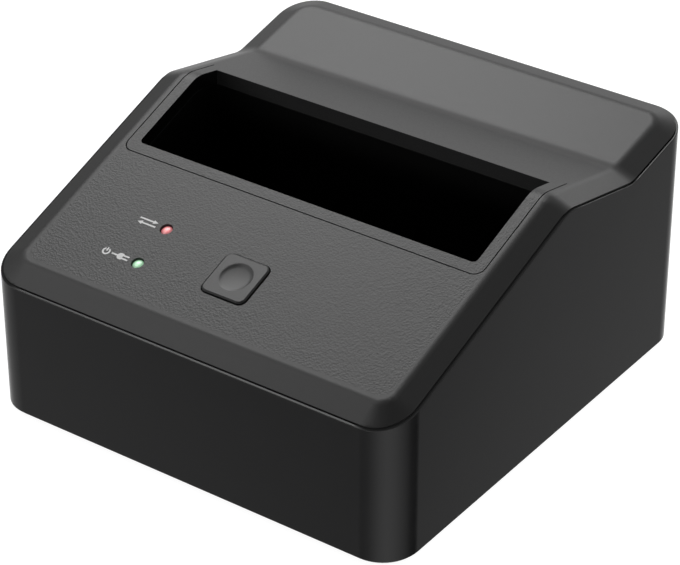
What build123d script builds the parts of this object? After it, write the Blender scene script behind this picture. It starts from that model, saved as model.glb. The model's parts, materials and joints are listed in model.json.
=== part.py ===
from build123d import *
import math
import os

os.makedirs("parts", exist_ok=True)

# Desktop docking station for one bare hard drive, in millimetres.
# The origin is at the middle of the footprint on the table. The front faces -Y, +X is to its right.
# "back" is always the distance behind the front face, "rise" a height above the underside of the case.

# Drives that fit the slot
DRIVE_WIDTH = 101.6
DRIVE_THICKNESS = 26.1
DRIVE_GAP = 0.6
DRIVE_EDGE_TO_PLUG = 30.1
DRIVE_FACE_TO_PLUG = 3.5

# Case
CASE_DEPTH = 136.5
SLOT_TO_SIDE = 11.15
CORNER_RADIUS = 10.4
WALL = 2.4
FLOOR = 2.4
FOOT_PROUD = 1.2

# Side view of the seam between base and cover
FRONT_RISE = 38.6
CREST_BACK = 75.4
CREST_RISE = 65.6
VALLEY_BACK = 107.0
VALLEY_RISE = 58.9
REAR_RISE = 65.6
BEND_RADIUS = 10.0
SEAM_EDGE = 0.15
BASE_EDGE = 0.8

# Cover
COVER_THICKNESS = 2.6
BEVEL_WIDTH = 5.55
BEVEL_SOFTNESS = 6.0
COVER_LIP = 0.5
SEAM_STEP = 0.65
REVEAL_HEIGHT = 0.45
REVEAL_DEPTH = 0.3
TONGUE_DEPTH = 2.5
TONGUE_THICKNESS = 1.2
MOULDING_FIT = 0.15

# Drive slot, its rim and the well below it
SLOT_FRONT = 50.2
SLOT_SIDE_GAP = 2.05
SLOT_CORNER = 1.3
RIM_SIDE = 3.4
RIM_FRONT = 3.4
RIM_TAIL = 2.9
RIM_CORNER = 3.0
GROOVE = 0.3
BEZEL_FLANGE = 1.6
BEZEL_FLANGE_WIDTH = 2.5
WELL_WALL = 1.8
WELL_FLOOR = 2.0
WELL_LIFT = 4.0
WELL_RIB_DEPTH = 3.05
WELL_RIB_WIDTH = 2.0
WELL_RIB_DROP = 12.0
WELL_RIB_TAPER = 6.0
EAR_X = 44.0
EAR_REACH = 4.4
EAR_RADIUS = 4.0
EAR_THICKNESS = 2.5
EAR_DROP = 8.0
WELL_BOSS_RADIUS = 3.2

# Drive connector
SOCKET_END_WALL = 2.3
SOCKET_DEPTH = 6.4
SOCKET_HEIGHT = 9.0
SOCKET_CAVITY = 5.2
SOCKET_LIP = 1.1
KEY_WIDTH = 1.2
CAVITY_DEPTH = 2.4
POWER_CAVITY = 21.0
DATA_CAVITY = 10.8
CAVITY_WALL = 1.6
CONTACT_PITCH = 1.27
CONTACT_WIDTH = 0.6
CONTACT_THICKNESS = 0.5
CONTACT_BITE = 0.3
POWER_CONTACTS = 15
DATA_CONTACTS = 7

# Power button and its switch
BUTTON_WIDTH = 13.5
BUTTON_LENGTH = 13.5
BUTTON_CORNER = 2.0
BUTTON_BACK = 22.75
BUTTON_PROUD = 0.6
BUTTON_GAP = 0.3
BUTTON_EDGE_WIDTH = 0.45
BUTTON_EDGE_DROP = 0.25
BUTTON_WALL = 1.2
BUTTON_TRAVEL = 1.0
DISH_DIAMETER = 9.4
DISH_DEPTH = 0.55
DISH_RIM_DEPTH = 0.3
DISH_RIM_WIDTH = 0.4
DISH_UP = 0.3
GUIDE_WALL = 1.2
GUIDE_DEPTH = 2.5
BUTTON_FLANGE = 1.0
BUTTON_STOP = 0.95
STOP_GAP = 0.1
STEM_SIDE = 3.6
STEM_LENGTH = 1.5
PLUNGER_SIDE = 3.0
PLUNGER_GAP = 0.15
PLUNGER_PROUD = 2.6
PLUNGER_SUNK = 2.4
SWITCH_SIDE = 7.0
SWITCH_HEIGHT = 6.0
SWITCH_PIN_PITCH = 4.5
SWITCH_PIN_SIDE = 0.6

# Lamps
LAMP_X = -27.0
DATA_LAMP_BACK = 29.0
POWER_LAMP_BACK = 17.2
LAMP_RADIUS = 1.5
LAMP_HOLE_GAP = 0.25
LAMP_SUNK = 0.2
LAMP_LENGTH = 4.5
LAMP_DOME_RADIUS = 3.0
LAMP_FLANGE_RADIUS = 1.9
LAMP_FLANGE = 1.0
LEAD_SIDE = 0.5
LEAD_PITCH = 2.54
LEAD_TAIL = 1.2
LEAD_HOLE_GAP = 0.15

# Boards
BOARD_THICKNESS = 1.6
FRONT_BOARD_LEFT = -38.0
FRONT_BOARD_RIGHT = 15.0
FRONT_BOARD_LOW = -12.0
FRONT_BOARD_HIGH = 14.0
FRONT_BOARD_INSET = 3.5
FRONT_BOSS_RADIUS = 2.7
BOARD_SIDE_GAP = 1.65
BOARD_FRONT = 46.0
BOARD_INSET = 4.0
STANDOFF_SIDE = 6.0
STANDOFF_HEIGHT = 4.0

# Small round pieces and hidden posts have flat sides, which keeps the model light.
SCREW_SIDES = 12
POST_SIDES = 16
FOOT_SIDES = 32
HEAD_TAPER = 18.0
SCREW_FIT = 0.03
SCREW_CLEARANCE = 0.25
CASE_SCREW_HEAD = 2.8
CASE_SCREW_HEAD_HEIGHT = 2.2
CASE_SCREW_RADIUS = 1.5
CASE_SCREW_LENGTH = 16.0
BOARD_SCREW_HEAD = 2.5
BOARD_SCREW_HEAD_HEIGHT = 1.7
BOARD_SCREW_RADIUS = 1.25
BOARD_SCREW_LENGTH = 5.0
FRONT_SCREW_LENGTH = 6.0
WELL_SCREW_LENGTH = 8.0

# Case posts, pillars and feet
PILLAR_INSET = 15.0
PILLAR_SIDE_INSET = 11.0
PILLAR_RADIUS = 3.5
POST_RADIUS = 4.6
POST_HEIGHT = 10.4
POST_SEAT = 4.6
PILLAR_RIB = 1.2
PILLAR_RIB_REACH = 6.0
REST_SIDE = 6.0
REST_RIB = 1.6
REST_INSET = 3.2
FOOT_RADIUS = 6.0
FOOT_THICKNESS = 2.0
FOOT_TAPER = 14.0
FOOT_GAP = 0.2

# Vents in the floor
VENT_COUNT = 9
VENT_PITCH = 6.0
VENT_WIDTH = 2.0
VENT_LENGTH = 26.0
VENT_TO_REAR = 32.5

# Data port
PORT_TO_SIDE = 25.0
PORT_WIDTH = 12.0
PORT_HEIGHT = 13.0
PORT_LENGTH = 17.0
PORT_SHEET = 0.35
PORT_SUNK = 0.6
PORT_GAP = 0.3
PORT_LOWER_WIDTH = 8.45
PORT_LOWER_HEIGHT = 7.8
PORT_UPPER_WIDTH = 5.9
PORT_UPPER_HEIGHT = 3.0
PORT_CHAMFER = 1.6
PORT_CAVITY_RISE = 1.0
PORT_CAVITY_DEPTH = 9.0
PORT_LIP = 0.5
TONGUE_WIDTH = 5.6
TONGUE_HEIGHT = 3.2
TONGUE_LENGTH = 7.5
PORT_CONTACT_WIDTH = 1.0
PORT_CONTACT_PITCH = 2.0

# Power jack
JACK_TO_SIDE = 25.0
JACK_WIDTH = 9.0
JACK_HEIGHT = 11.0
JACK_LENGTH = 14.4
JACK_BORE_RADIUS = 3.15
JACK_BORE_DEPTH = 9.5
JACK_AXIS_RISE = 6.5
JACK_PIN_RADIUS = 1.0
JACK_PIN_LENGTH = 9.0
JACK_HOLE_RADIUS = 3.9
JACK_SPRING_WIDTH = 2.0
JACK_SPRING_THICKNESS = 0.3

# Parts on the main board, placed ahead of its rear edge except where a name says otherwise
CHIP_SIDE = 10.0
CHIP_HEIGHT = 1.4
CHIP_LEGS = 8
LEG_PITCH = 1.1
LEG_WIDTH = 0.4
LEG_REACH = 1.0
LEG_HEIGHT = 0.5
CHIP_X = -2.0
CHIP_AHEAD = 30.0
MEMORY_X = -18.0
MEMORY_AHEAD = 31.0
SMALL_CHIP_LENGTH = 5.0
SMALL_CHIP_WIDTH = 4.0
SMALL_CHIP_HEIGHT = 1.5
INDUCTOR_SIDE = 7.0
INDUCTOR_CORNER = 1.2
INDUCTOR_HEIGHT = 4.0
INDUCTOR_TO_SIDE = 13.0
INDUCTOR_AHEAD = 9.0
INDUCTOR_PITCH = 10.0
REGULATOR_TO_INDUCTOR = 10.0
CAPACITOR_RADIUS = 3.15
CAPACITOR_HEIGHT = 7.7
CAPACITOR_BASE = 6.6
CAPACITOR_BASE_HEIGHT = 1.2
CAPACITOR_X = (-4.0, 5.0)
CAPACITOR_AHEAD = 8.0
CRYSTAL_LENGTH = 11.0
CRYSTAL_WIDTH = 4.6
CRYSTAL_HEIGHT = 3.5
CRYSTAL_AHEAD = 18.0
RESISTOR_LENGTH = 2.0
RESISTOR_WIDTH = 1.25
RESISTOR_HEIGHT = 0.6
RESISTOR_COUNT = 6
RESISTOR_PITCH = 3.0
RESISTORS_TO_SOCKET = 1.5

# Ribbon cable and its headers
RIBBON_X = -14.0
RIBBON_WIDTH = 8.0
RIBBON_THICKNESS = 0.3
RIBBON_BEND = 3.0
RIBBON_DROP_BACK = 41.5
RIBBON_SOCKETED = 2.0
HEADER_WIDTH = 12.0
HEADER_LENGTH = 4.0
HEADER_HEIGHT = 2.0
FRONT_HEADER_UP = 1.0
MAIN_HEADER_BACK = 47.5

# Lengths worked out from the above
MARGIN = 20.0
SLOT_WIDTH = DRIVE_WIDTH + 2 * SLOT_SIDE_GAP
SLOT_REAR = SLOT_FRONT + DRIVE_THICKNESS + 2 * (DRIVE_GAP + WELL_RIB_DEPTH)
CASE_WIDTH = SLOT_WIDTH + 2 * SLOT_TO_SIDE
SLOPE = math.atan2(CREST_RISE - FRONT_RISE, CREST_BACK)
REAR_SLOPE = math.atan2(REAR_RISE - VALLEY_RISE, CASE_DEPTH - VALLEY_BACK)
TOP = FOOT_PROUD + max(CREST_RISE, REAR_RISE) + COVER_THICKNESS + MARGIN
COVER_NORMAL = COVER_THICKNESS * math.cos(SLOPE)
FLOOR_TOP = FOOT_PROUD + FLOOR
BOARD_TOP = FLOOR_TOP + STANDOFF_HEIGHT + BOARD_THICKNESS
BOARD_REAR = CASE_DEPTH - WALL - PORT_GAP
WELL_UNDER = BOARD_TOP + WELL_LIFT
POST_TOP = FLOOR_TOP + POST_HEIGHT
REST_X = SLOT_WIDTH / 2 + WELL_WALL - REST_SIDE / 2
BOARD_WIDTH = 2 * (REST_X - REST_SIDE / 2 - BOARD_SIDE_GAP)
PORT_X = PORT_TO_SIDE - BOARD_WIDTH / 2
JACK_X = BOARD_WIDTH / 2 - JACK_TO_SIDE
INDUCTOR_X = BOARD_WIDTH / 2 - INDUCTOR_TO_SIDE
PILLAR_X = CASE_WIDTH / 2 - PILLAR_SIDE_INSET
PILLAR_BACKS = (PILLAR_INSET, CASE_DEPTH - PILLAR_INSET)
SIDE_RIB_DEPTH = SLOT_SIDE_GAP - DRIVE_GAP
SOCKET_LENGTH = POWER_CAVITY + CAVITY_WALL + DATA_CAVITY + 2 * SOCKET_END_WALL
SOCKET_X = DRIVE_EDGE_TO_PLUG - DRIVE_WIDTH / 2
SOCKET_BACK = SLOT_REAR - WELL_RIB_DEPTH - DRIVE_GAP - DRIVE_FACE_TO_PLUG
GUIDE_END = COVER_NORMAL + GUIDE_DEPTH
FLANGE_START = GUIDE_END + STOP_GAP
FLANGE_END = FLANGE_START + BUTTON_FLANGE
STEM_END = FLANGE_END + STEM_LENGTH
SWITCH_TOP = STEM_END + PLUNGER_PROUD
FRONT_BOARD_DEPTH = SWITCH_TOP + SWITCH_HEIGHT
EAR_BACKS = (SLOT_FRONT - WELL_WALL - EAR_REACH, SLOT_REAR + WELL_WALL + EAR_REACH)


def y_at(back):
    """Y of a station a given distance behind the front face."""
    return back - CASE_DEPTH / 2


def seam_z(back):
    """Height of the seam at a distance behind the front face, its bends left sharp."""
    stations = (
        (0, FRONT_RISE),
        (CREST_BACK, CREST_RISE),
        (VALLEY_BACK, VALLEY_RISE),
        (CASE_DEPTH, REAR_RISE),
    )
    for (near, low), (far, high) in zip(stations, stations[1:]):
        if back <= far:
            return FOOT_PROUD + low + (high - low) * (back - near) / (far - near)
    return FOOT_PROUD + REAR_RISE


def under_seam(lift):
    """All the space below the seam line when that line is raised by lift."""
    base = FOOT_PROUD + lift
    front = (y_at(-MARGIN), base + FRONT_RISE - MARGIN * math.tan(SLOPE))
    rear = (y_at(CASE_DEPTH + MARGIN), base + REAR_RISE + MARGIN * math.tan(REAR_SLOPE))
    crest = (y_at(CREST_BACK), base + CREST_RISE)
    valley = (y_at(VALLEY_BACK), base + VALLEY_RISE)
    with BuildPart() as space:
        with BuildSketch(Plane.YZ):
            with BuildLine():
                FilletPolyline(front, crest, valley, rear, radius=BEND_RADIUS)
                Polyline(rear, (rear[0], -MARGIN), (front[0], -MARGIN), front)
            make_face()
        extrude(amount=CASE_WIDTH / 2 + MARGIN, both=True)
    return space.part


def plan_block(inset, low, high):
    """Upright block with the case's rounded plan, drawn in by inset all round."""
    radius = max(CORNER_RADIUS - inset, 0.5)
    plan = RectangleRounded(CASE_WIDTH - 2 * inset, CASE_DEPTH - 2 * inset, radius)
    return Pos(0, 0, low) * extrude(plan, high - low)


def block(x_range, back_range, z_range):
    """Box between two X, two distances behind the front face and two heights."""
    sizes = [high - low for low, high in (x_range, back_range, z_range)]
    x, back, z = [(low + high) / 2 for low, high in (x_range, back_range, z_range)]
    return Pos(x, y_at(back), z) * Box(*sizes)


def post(x, back, radius, low, high):
    """Upright many-sided post at a place on the plan between two heights."""
    return Pos(x, y_at(back), low) * extrude(RegularPolygon(radius, POST_SIDES), high - low)


def slope_plane(x, back, depth=0.0):
    """Plane on the cover's front slope, sunk by depth: X across, Y up the slope, Z out of it."""
    surface = Vector(x, y_at(back), seam_z(back) + COVER_THICKNESS)
    outward = Vector(0, -math.sin(SLOPE), math.cos(SLOPE))
    return Plane(origin=surface - outward * depth, x_dir=(1, 0, 0), z_dir=outward)


def on_slope(x, up, shallow, deep, shape):
    """Prism of a sketch under the front slope, between two depths, placed from the button."""
    plane = slope_plane(0, BUTTON_BACK, deep)
    return plane * (Pos(x, up, 0) * extrude(shape, deep - shallow))


def up_slope(back):
    """Distance up the slope from the button's middle to a station behind the front face."""
    return (back - BUTTON_BACK) / math.cos(SLOPE)


def twelve_sided(radius):
    """Outline of a screw, its head or its hole."""
    return RegularPolygon(radius, SCREW_SIDES)


def screw_hole(x, back, radius, low, high):
    """Upright hole for a screw or its head at a place on the plan."""
    return Pos(x, y_at(back), low) * extrude(twelve_sided(radius), high - low)


def pan_screw(head_radius, head_height, radius, length):
    """Screw with its head's seat at the origin and its shank up +Z."""
    head = Rot(180, 0, 0) * extrude(twelve_sided(head_radius), head_height, taper=HEAD_TAPER)
    return head + extrude(twelve_sided(radius), length)


def slot_prism(grow, tail, corner):
    """Upright prism on the slot's plan, grown at front and sides and with a tail behind it."""
    side, front = grow
    x_edge = SLOT_WIDTH / 2 + side
    near = SLOT_FRONT - front
    far = SLOT_REAR + tail
    prism = block((-x_edge, x_edge), (near, far), (0, TOP))
    corners = prism.edges().filter_by(Axis.Z).sort_by(Axis.Y)[:2]
    return fillet(corners, corner)


def pillar_places():
    """The four corners where the case is screwed together."""
    return [(side * PILLAR_X, back) for side in (-1, 1) for back in PILLAR_BACKS]


def ear_places():
    """The four places where the well hangs from the cover, each with the height of its ear."""
    return [(side * EAR_X, back, seam_z(back) - EAR_DROP) for side in (-1, 1) for back in EAR_BACKS]


def standoff_places():
    """The four corner holes of the main board."""
    x = BOARD_WIDTH / 2 - BOARD_INSET
    backs = (BOARD_FRONT + BOARD_INSET, BOARD_REAR - BOARD_INSET)
    return [(side * x, back) for side in (-1, 1) for back in backs]


def rest_places():
    """Where crossed ribs of the base carry the well, just outside the main board."""
    backs = (SLOT_FRONT - WELL_WALL + REST_INSET, SLOT_REAR + WELL_WALL - REST_INSET)
    return [(side * REST_X, back) for side in (-1, 1) for back in backs]


def front_board_holes():
    """Two holes at opposite corners of the front board, across and up the slope."""
    left = (FRONT_BOARD_LEFT + FRONT_BOARD_INSET, FRONT_BOARD_HIGH - FRONT_BOARD_INSET)
    right = (FRONT_BOARD_RIGHT - FRONT_BOARD_INSET, FRONT_BOARD_LOW + FRONT_BOARD_INSET)
    return [left, right]


def lamp_places():
    """Both lamps, across and up the slope."""
    return [(LAMP_X, up_slope(back)) for back in (DATA_LAMP_BACK, POWER_LAMP_BACK)]


def port_z():
    """Heights of the data port's underside and top."""
    return (BOARD_TOP, BOARD_TOP + PORT_HEIGHT)


def base_shell():
    """Lower case: open tub with the stepped rim, its posts, sockets' openings, vents and foot seats."""
    shell = plan_block(0, FOOT_PROUD, TOP) & under_seam(0)
    front_edges = shell.edges().filter_by(Axis.X).sort_by(Axis.Y)[:2].sort_by(Axis.Z)
    shell = chamfer(front_edges[-1], SEAM_EDGE)
    shell = chamfer(shell.faces().sort_by(Axis.Z)[0].edges(), BASE_EDGE)
    shell -= plan_block(WALL, FLOOR_TOP, TOP)
    in_floor = FOOT_PROUD + FLOOR / 2
    for x, back in pillar_places():
        seat = POST_TOP - POST_SEAT
        shell += post(x, back, POST_RADIUS, in_floor, POST_TOP)
        shell -= screw_hole(x, back, CASE_SCREW_HEAD + SCREW_CLEARANCE, 0, seat)
        shell -= screw_hole(x, back, CASE_SCREW_RADIUS + SCREW_CLEARANCE, 0, TOP)
        seat_plan = RegularPolygon(FOOT_RADIUS + FOOT_GAP, FOOT_SIDES)
        shell -= Pos(x, y_at(back), 0) * extrude(seat_plan, FOOT_THICKNESS)
    for x, back in standoff_places():
        half = STANDOFF_SIDE / 2
        top = FLOOR_TOP + STANDOFF_HEIGHT
        bottom = top + BOARD_THICKNESS - BOARD_SCREW_LENGTH - SCREW_CLEARANCE
        shell += block((x - half, x + half), (back - half, back + half), (in_floor, top))
        shell -= screw_hole(x, back, BOARD_SCREW_RADIUS + SCREW_FIT, bottom, top)
    for x, back in rest_places():
        for long, wide in ((REST_SIDE, REST_RIB), (REST_RIB, REST_SIDE)):
            x_range = (x - long / 2, x + long / 2)
            shell += block(x_range, (back - wide / 2, back + wide / 2), (in_floor, WELL_UNDER))
    vent_back = CASE_DEPTH - VENT_TO_REAR
    vent_ends = (vent_back - VENT_LENGTH / 2, vent_back + VENT_LENGTH / 2)
    for index in range(VENT_COUNT):
        x = (index - (VENT_COUNT - 1) / 2) * VENT_PITCH
        shell -= block((x - VENT_WIDTH / 2, x + VENT_WIDTH / 2), vent_ends, (0, FLOOR_TOP + 1))
    low, high = port_z()
    half = PORT_WIDTH / 2 + PORT_GAP
    through = (CASE_DEPTH - 2 * WALL, CASE_DEPTH + WALL)
    shell -= block((PORT_X - half, PORT_X + half), through, (low - PORT_GAP, high + PORT_GAP))
    shell -= jack_plane(CASE_DEPTH - 2 * WALL) * extrude(Circle(JACK_HOLE_RADIUS), 4 * WALL)
    return shell


def front_slope(shape):
    """The cover's front slope and its front edge, which runs on round the whole top."""
    tops = shape.faces().filter_by(lambda face: face.normal_at().Z > 0.5)
    slope = tops.sort_by(SortBy.AREA)[-1]
    return slope, slope.edges().filter_by(Axis.X).sort_by(Axis.Y)[0]


def cover_plate():
    """The stepped plate of the cover: soft bevel above, shadow gap all round below."""
    plate = (plan_block(SEAM_STEP, FOOT_PROUD, TOP) & under_seam(COVER_THICKNESS)) - under_seam(0)
    slope, edge = front_slope(plate)
    plate = chamfer(edge, BEVEL_WIDTH, COVER_THICKNESS - COVER_LIP, reference=slope)
    plate = fillet(front_slope(plate)[1], BEVEL_SOFTNESS)
    reveal = under_seam(REVEAL_HEIGHT) - plan_block(SEAM_STEP + REVEAL_DEPTH, 0, TOP)
    return plate - reveal


def top_cover():
    """Upper cover: bevelled plate, tongue into the base, pillars, bosses and the holes of its slope."""
    cover = cover_plate()
    inset = WALL + MOULDING_FIT
    tongue = plan_block(inset, 0, TOP) - plan_block(inset + TONGUE_THICKNESS, 0, TOP)
    cover += (tongue & under_seam(0)) - under_seam(-TONGUE_DEPTH)
    inner = plan_block(inset, 0, TOP) & under_seam(COVER_THICKNESS / 2)
    for x, back in pillar_places():
        pillar = post(x, back, PILLAR_RADIUS, POST_TOP, TOP)
        side = math.copysign(PILLAR_RIB_REACH, -x)
        rib_x = sorted((x, x + side))
        half = PILLAR_RIB / 2
        web = block(rib_x, (back - half, back + half), (seam_z(back) - PILLAR_RIB_REACH, TOP))
        cover += (pillar + web) & inner
    for x, back, ear_z in ear_places():
        cover += post(x, back, WELL_BOSS_RADIUS, ear_z, TOP) & inner
    for x, up in front_board_holes():
        boss = RegularPolygon(FRONT_BOSS_RADIUS, POST_SIDES)
        cover += on_slope(x, up, COVER_NORMAL / 2, FRONT_BOARD_DEPTH, boss)
    opening = RectangleRounded(
        BUTTON_WIDTH + 2 * BUTTON_GAP, BUTTON_LENGTH + 2 * BUTTON_GAP, BUTTON_CORNER + BUTTON_GAP
    )
    around = 2 * (BUTTON_GAP + GUIDE_WALL)
    guide = Rectangle(BUTTON_WIDTH + around, BUTTON_LENGTH + around)
    cover += on_slope(0, 0, COVER_NORMAL / 2, GUIDE_END, guide)
    cover -= on_slope(0, 0, -MARGIN, GUIDE_END, opening)
    for x, up in lamp_places():
        cover -= on_slope(x, up, -MARGIN, GUIDE_END, Circle(LAMP_RADIUS + LAMP_HOLE_GAP))
    for x, up in front_board_holes():
        deep = FRONT_BOARD_DEPTH + BOARD_THICKNESS
        pilot = deep - FRONT_SCREW_LENGTH - SCREW_CLEARANCE
        cover -= on_slope(x, up, pilot, deep, twelve_sided(BOARD_SCREW_RADIUS + SCREW_FIT))
    for x, back, ear_z in ear_places():
        pilot = ear_z - EAR_THICKNESS + WELL_SCREW_LENGTH + SCREW_CLEARANCE
        cover -= screw_hole(x, back, BOARD_SCREW_RADIUS + SCREW_FIT, 0, pilot)
    for x, back in pillar_places():
        pilot = POST_TOP - POST_SEAT + CASE_SCREW_LENGTH + SCREW_CLEARANCE
        cover -= screw_hole(x, back, CASE_SCREW_RADIUS + SCREW_FIT, 0, pilot)
    half = SLOT_WIDTH / 2
    shelf = block((-half, half), (SLOT_REAR, SLOT_REAR + 2 * RIM_TAIL), (0, TOP))
    return cover - (slot_prism((RIM_SIDE, RIM_FRONT), RIM_TAIL, RIM_CORNER) - shelf)


def slot_bezel():
    """Rim of the slot: a U flush with the cover, on a flange that lies against its underside."""
    rim = slot_prism((RIM_SIDE - GROOVE, RIM_FRONT - GROOVE), RIM_TAIL, RIM_CORNER - GROOVE)
    half = SLOT_WIDTH / 2
    shelf = block((-half, half), (SLOT_REAR, SLOT_REAR + 2 * RIM_TAIL), (0, TOP))
    collar = (rim - shelf) & (under_seam(COVER_THICKNESS) - under_seam(0))
    grow = (RIM_SIDE + BEZEL_FLANGE_WIDTH, RIM_FRONT + BEZEL_FLANGE_WIDTH)
    flange = slot_prism(grow, BEZEL_FLANGE_WIDTH, RIM_CORNER)
    flange = flange & (under_seam(0) - under_seam(-BEZEL_FLANGE))
    for x, back, _ in ear_places():
        flange -= post(x, back, WELL_BOSS_RADIUS + MOULDING_FIT, 0, TOP)
    slot = slot_prism((0, 0), 0, SLOT_CORNER)
    return (collar + flange) - slot


def well_rib(depth, height):
    """Upright guide rib on a wall at Y=0, reaching towards +Y and tapering off at its top."""
    with BuildPart() as rib:
        with BuildSketch(Plane.YZ):
            with BuildLine():
                Polyline((0, 0), (depth, 0), (depth, height - WELL_RIB_TAPER), (0, height), (0, 0))
            make_face()
        extrude(amount=WELL_RIB_WIDTH / 2, both=True)
    return rib.part


def drive_well():
    """Box that holds the drive upright: walls, floor with the connector's hole, guide ribs, ears."""
    floor_top = WELL_UNDER + WELL_FLOOR
    outer = slot_prism((WELL_WALL, WELL_WALL), WELL_WALL, SLOT_CORNER + WELL_WALL)
    well = (outer & under_seam(-BEZEL_FLANGE)) - plan_block(0, 0, WELL_UNDER)
    well -= slot_prism((0, 0), 0, SLOT_CORNER) & plan_block(0, floor_top, TOP)
    rib_top = seam_z(SLOT_FRONT) - BEZEL_FLANGE - WELL_RIB_DROP
    front_rib = well_rib(WELL_RIB_DEPTH, rib_top - floor_top)
    side_rib = well_rib(SIDE_RIB_DEPTH, rib_top - floor_top)
    for share in (-0.4, -0.12, 0.12, 0.4):
        x = share * SLOT_WIDTH
        well += Pos(x, y_at(SLOT_FRONT), floor_top) * front_rib
        well += Pos(x, y_at(SLOT_REAR), floor_top) * Rot(0, 0, 180) * front_rib
    middle = y_at((SLOT_FRONT + SLOT_REAR) / 2)
    well += Pos(-SLOT_WIDTH / 2, middle, floor_top) * Rot(0, 0, -90) * side_rib
    well += Pos(SLOT_WIDTH / 2, middle, floor_top) * Rot(0, 0, 90) * side_rib
    half_length = SOCKET_LENGTH / 2 + MOULDING_FIT
    half_depth = SOCKET_DEPTH / 2 + MOULDING_FIT
    well -= block(
        (SOCKET_X - half_length, SOCKET_X + half_length),
        (SOCKET_BACK - half_depth, SOCKET_BACK + half_depth),
        (0, floor_top + SOCKET_HEIGHT),
    )
    for x, back, ear_z in ear_places():
        wall_back = SLOT_FRONT - WELL_WALL / 2 if back < SLOT_FRONT else SLOT_REAR + WELL_WALL / 2
        levels = (ear_z - EAR_THICKNESS, ear_z)
        well += block((x - EAR_RADIUS, x + EAR_RADIUS), sorted((back, wall_back)), levels)
        well += post(x, back, EAR_RADIUS, *levels)
        well -= screw_hole(x, back, BOARD_SCREW_RADIUS + SCREW_CLEARANCE, *levels)
    return well


def dish():
    """Hollow for a fingertip, from its lowest point up: a steep rim round a nearly flat bowl."""
    mouth = DISH_DIAMETER / 2
    bowl = mouth - DISH_RIM_WIDTH
    bowl_depth = DISH_DEPTH - DISH_RIM_DEPTH
    bowl_radius = (bowl**2 + bowl_depth**2) / (2 * bowl_depth)
    with BuildPart() as hollow:
        with BuildSketch(Plane.XZ):
            with BuildLine():
                RadiusArc((0, 0), (bowl, bowl_depth), -bowl_radius)
                Polyline((bowl, bowl_depth), (mouth, DISH_DEPTH), (0, DISH_DEPTH), (0, 0))
            make_face()
        revolve(axis=Axis.Z)
    return hollow.part


def power_button():
    """Push button: dished cap, walls down through the guide, flange that stops it, stem on the switch."""
    plan = RectangleRounded(BUTTON_WIDTH, BUTTON_LENGTH, BUTTON_CORNER)
    cap = on_slope(0, 0, -BUTTON_PROUD, FLANGE_END, plan)
    face = cap.faces().sort_by(Axis((0, 0, 0), (0, -math.sin(SLOPE), math.cos(SLOPE))))[-1]
    cap = chamfer(face.edges(), BUTTON_EDGE_WIDTH, BUTTON_EDGE_DROP, reference=face)
    cap -= slope_plane(0, BUTTON_BACK, DISH_DEPTH - BUTTON_PROUD) * Pos(0, DISH_UP, 0) * dish()
    flange = Rectangle(BUTTON_WIDTH + 2 * BUTTON_STOP, BUTTON_LENGTH + 2 * BUTTON_STOP)
    cap += on_slope(0, 0, FLANGE_START, FLANGE_END, flange)
    pocket = Rectangle(BUTTON_WIDTH - 2 * BUTTON_WALL, BUTTON_LENGTH - 2 * BUTTON_WALL)
    cap -= on_slope(0, 0, DISH_DEPTH + BUTTON_WALL - BUTTON_PROUD, FLANGE_END, pocket)
    stem_top = DISH_DEPTH - BUTTON_PROUD + BUTTON_WALL / 2
    stem = on_slope(0, 0, stem_top, STEM_END, Rectangle(STEM_SIDE, STEM_SIDE))
    return cap + stem


def switch_plunger():
    """Square plunger of the switch, under the button's stem."""
    return on_slope(0, 0, STEM_END, SWITCH_TOP + PLUNGER_SUNK, Rectangle(PLUNGER_SIDE, PLUNGER_SIDE))


def power_switch():
    """Switch housing on the front board, with a pocket for the plunger and its travel."""
    housing = on_slope(0, 0, SWITCH_TOP, FRONT_BOARD_DEPTH, Rectangle(SWITCH_SIDE, SWITCH_SIDE))
    side = PLUNGER_SIDE + 2 * PLUNGER_GAP
    depth = SWITCH_TOP + PLUNGER_SUNK + BUTTON_TRAVEL + STOP_GAP
    housing -= on_slope(0, 0, 0, depth, Rectangle(side, side))
    return housing


def switch_pin_places():
    """Switch terminals, across and up the slope."""
    return [(x * SWITCH_PIN_PITCH / 2, up * SWITCH_PIN_PITCH / 2) for x in (-1, 1) for up in (-1, 1)]


def switch_terminals():
    """Pins of the switch through the front board."""
    deep = FRONT_BOARD_DEPTH + BOARD_THICKNESS + LEAD_TAIL
    pin = Rectangle(SWITCH_PIN_SIDE, SWITCH_PIN_SIDE)
    return Compound([on_slope(x, up, FRONT_BOARD_DEPTH, deep, pin) for x, up in switch_pin_places()])


def lamp(up):
    """Round lamp with a domed tip in the cover's hole and a flange below."""
    dome = LAMP_DOME_RADIUS - math.sqrt(LAMP_DOME_RADIUS**2 - LAMP_RADIUS**2)
    ball = Pos(0, 0, LAMP_LENGTH - LAMP_DOME_RADIUS) * Rot(0, 90, 0) * Sphere(LAMP_DOME_RADIUS)
    tip = ball & (Pos(0, 0, LAMP_LENGTH - dome) * extrude(Circle(LAMP_RADIUS), dome))
    barrel = extrude(Circle(LAMP_RADIUS), LAMP_LENGTH - dome)
    flange = extrude(RegularPolygon(LAMP_FLANGE_RADIUS, POST_SIDES), -LAMP_FLANGE)
    whole = Pos(LAMP_X, up, 0) * (barrel + tip + flange)
    return slope_plane(0, BUTTON_BACK, LAMP_SUNK + LAMP_LENGTH) * whole


def lead_places():
    """Every lamp lead, across and up the slope."""
    return [(x + side * LEAD_PITCH / 2, up) for x, up in lamp_places() for side in (-1, 1)]


def lamp_leads():
    """Square leads from the lamps' flanges through the front board."""
    start = LAMP_SUNK + LAMP_LENGTH + LAMP_FLANGE
    deep = FRONT_BOARD_DEPTH + BOARD_THICKNESS + LEAD_TAIL
    wire = Rectangle(LEAD_SIDE, LEAD_SIDE)
    return Compound([on_slope(x, up, start, deep, wire) for x, up in lead_places()])


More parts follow.
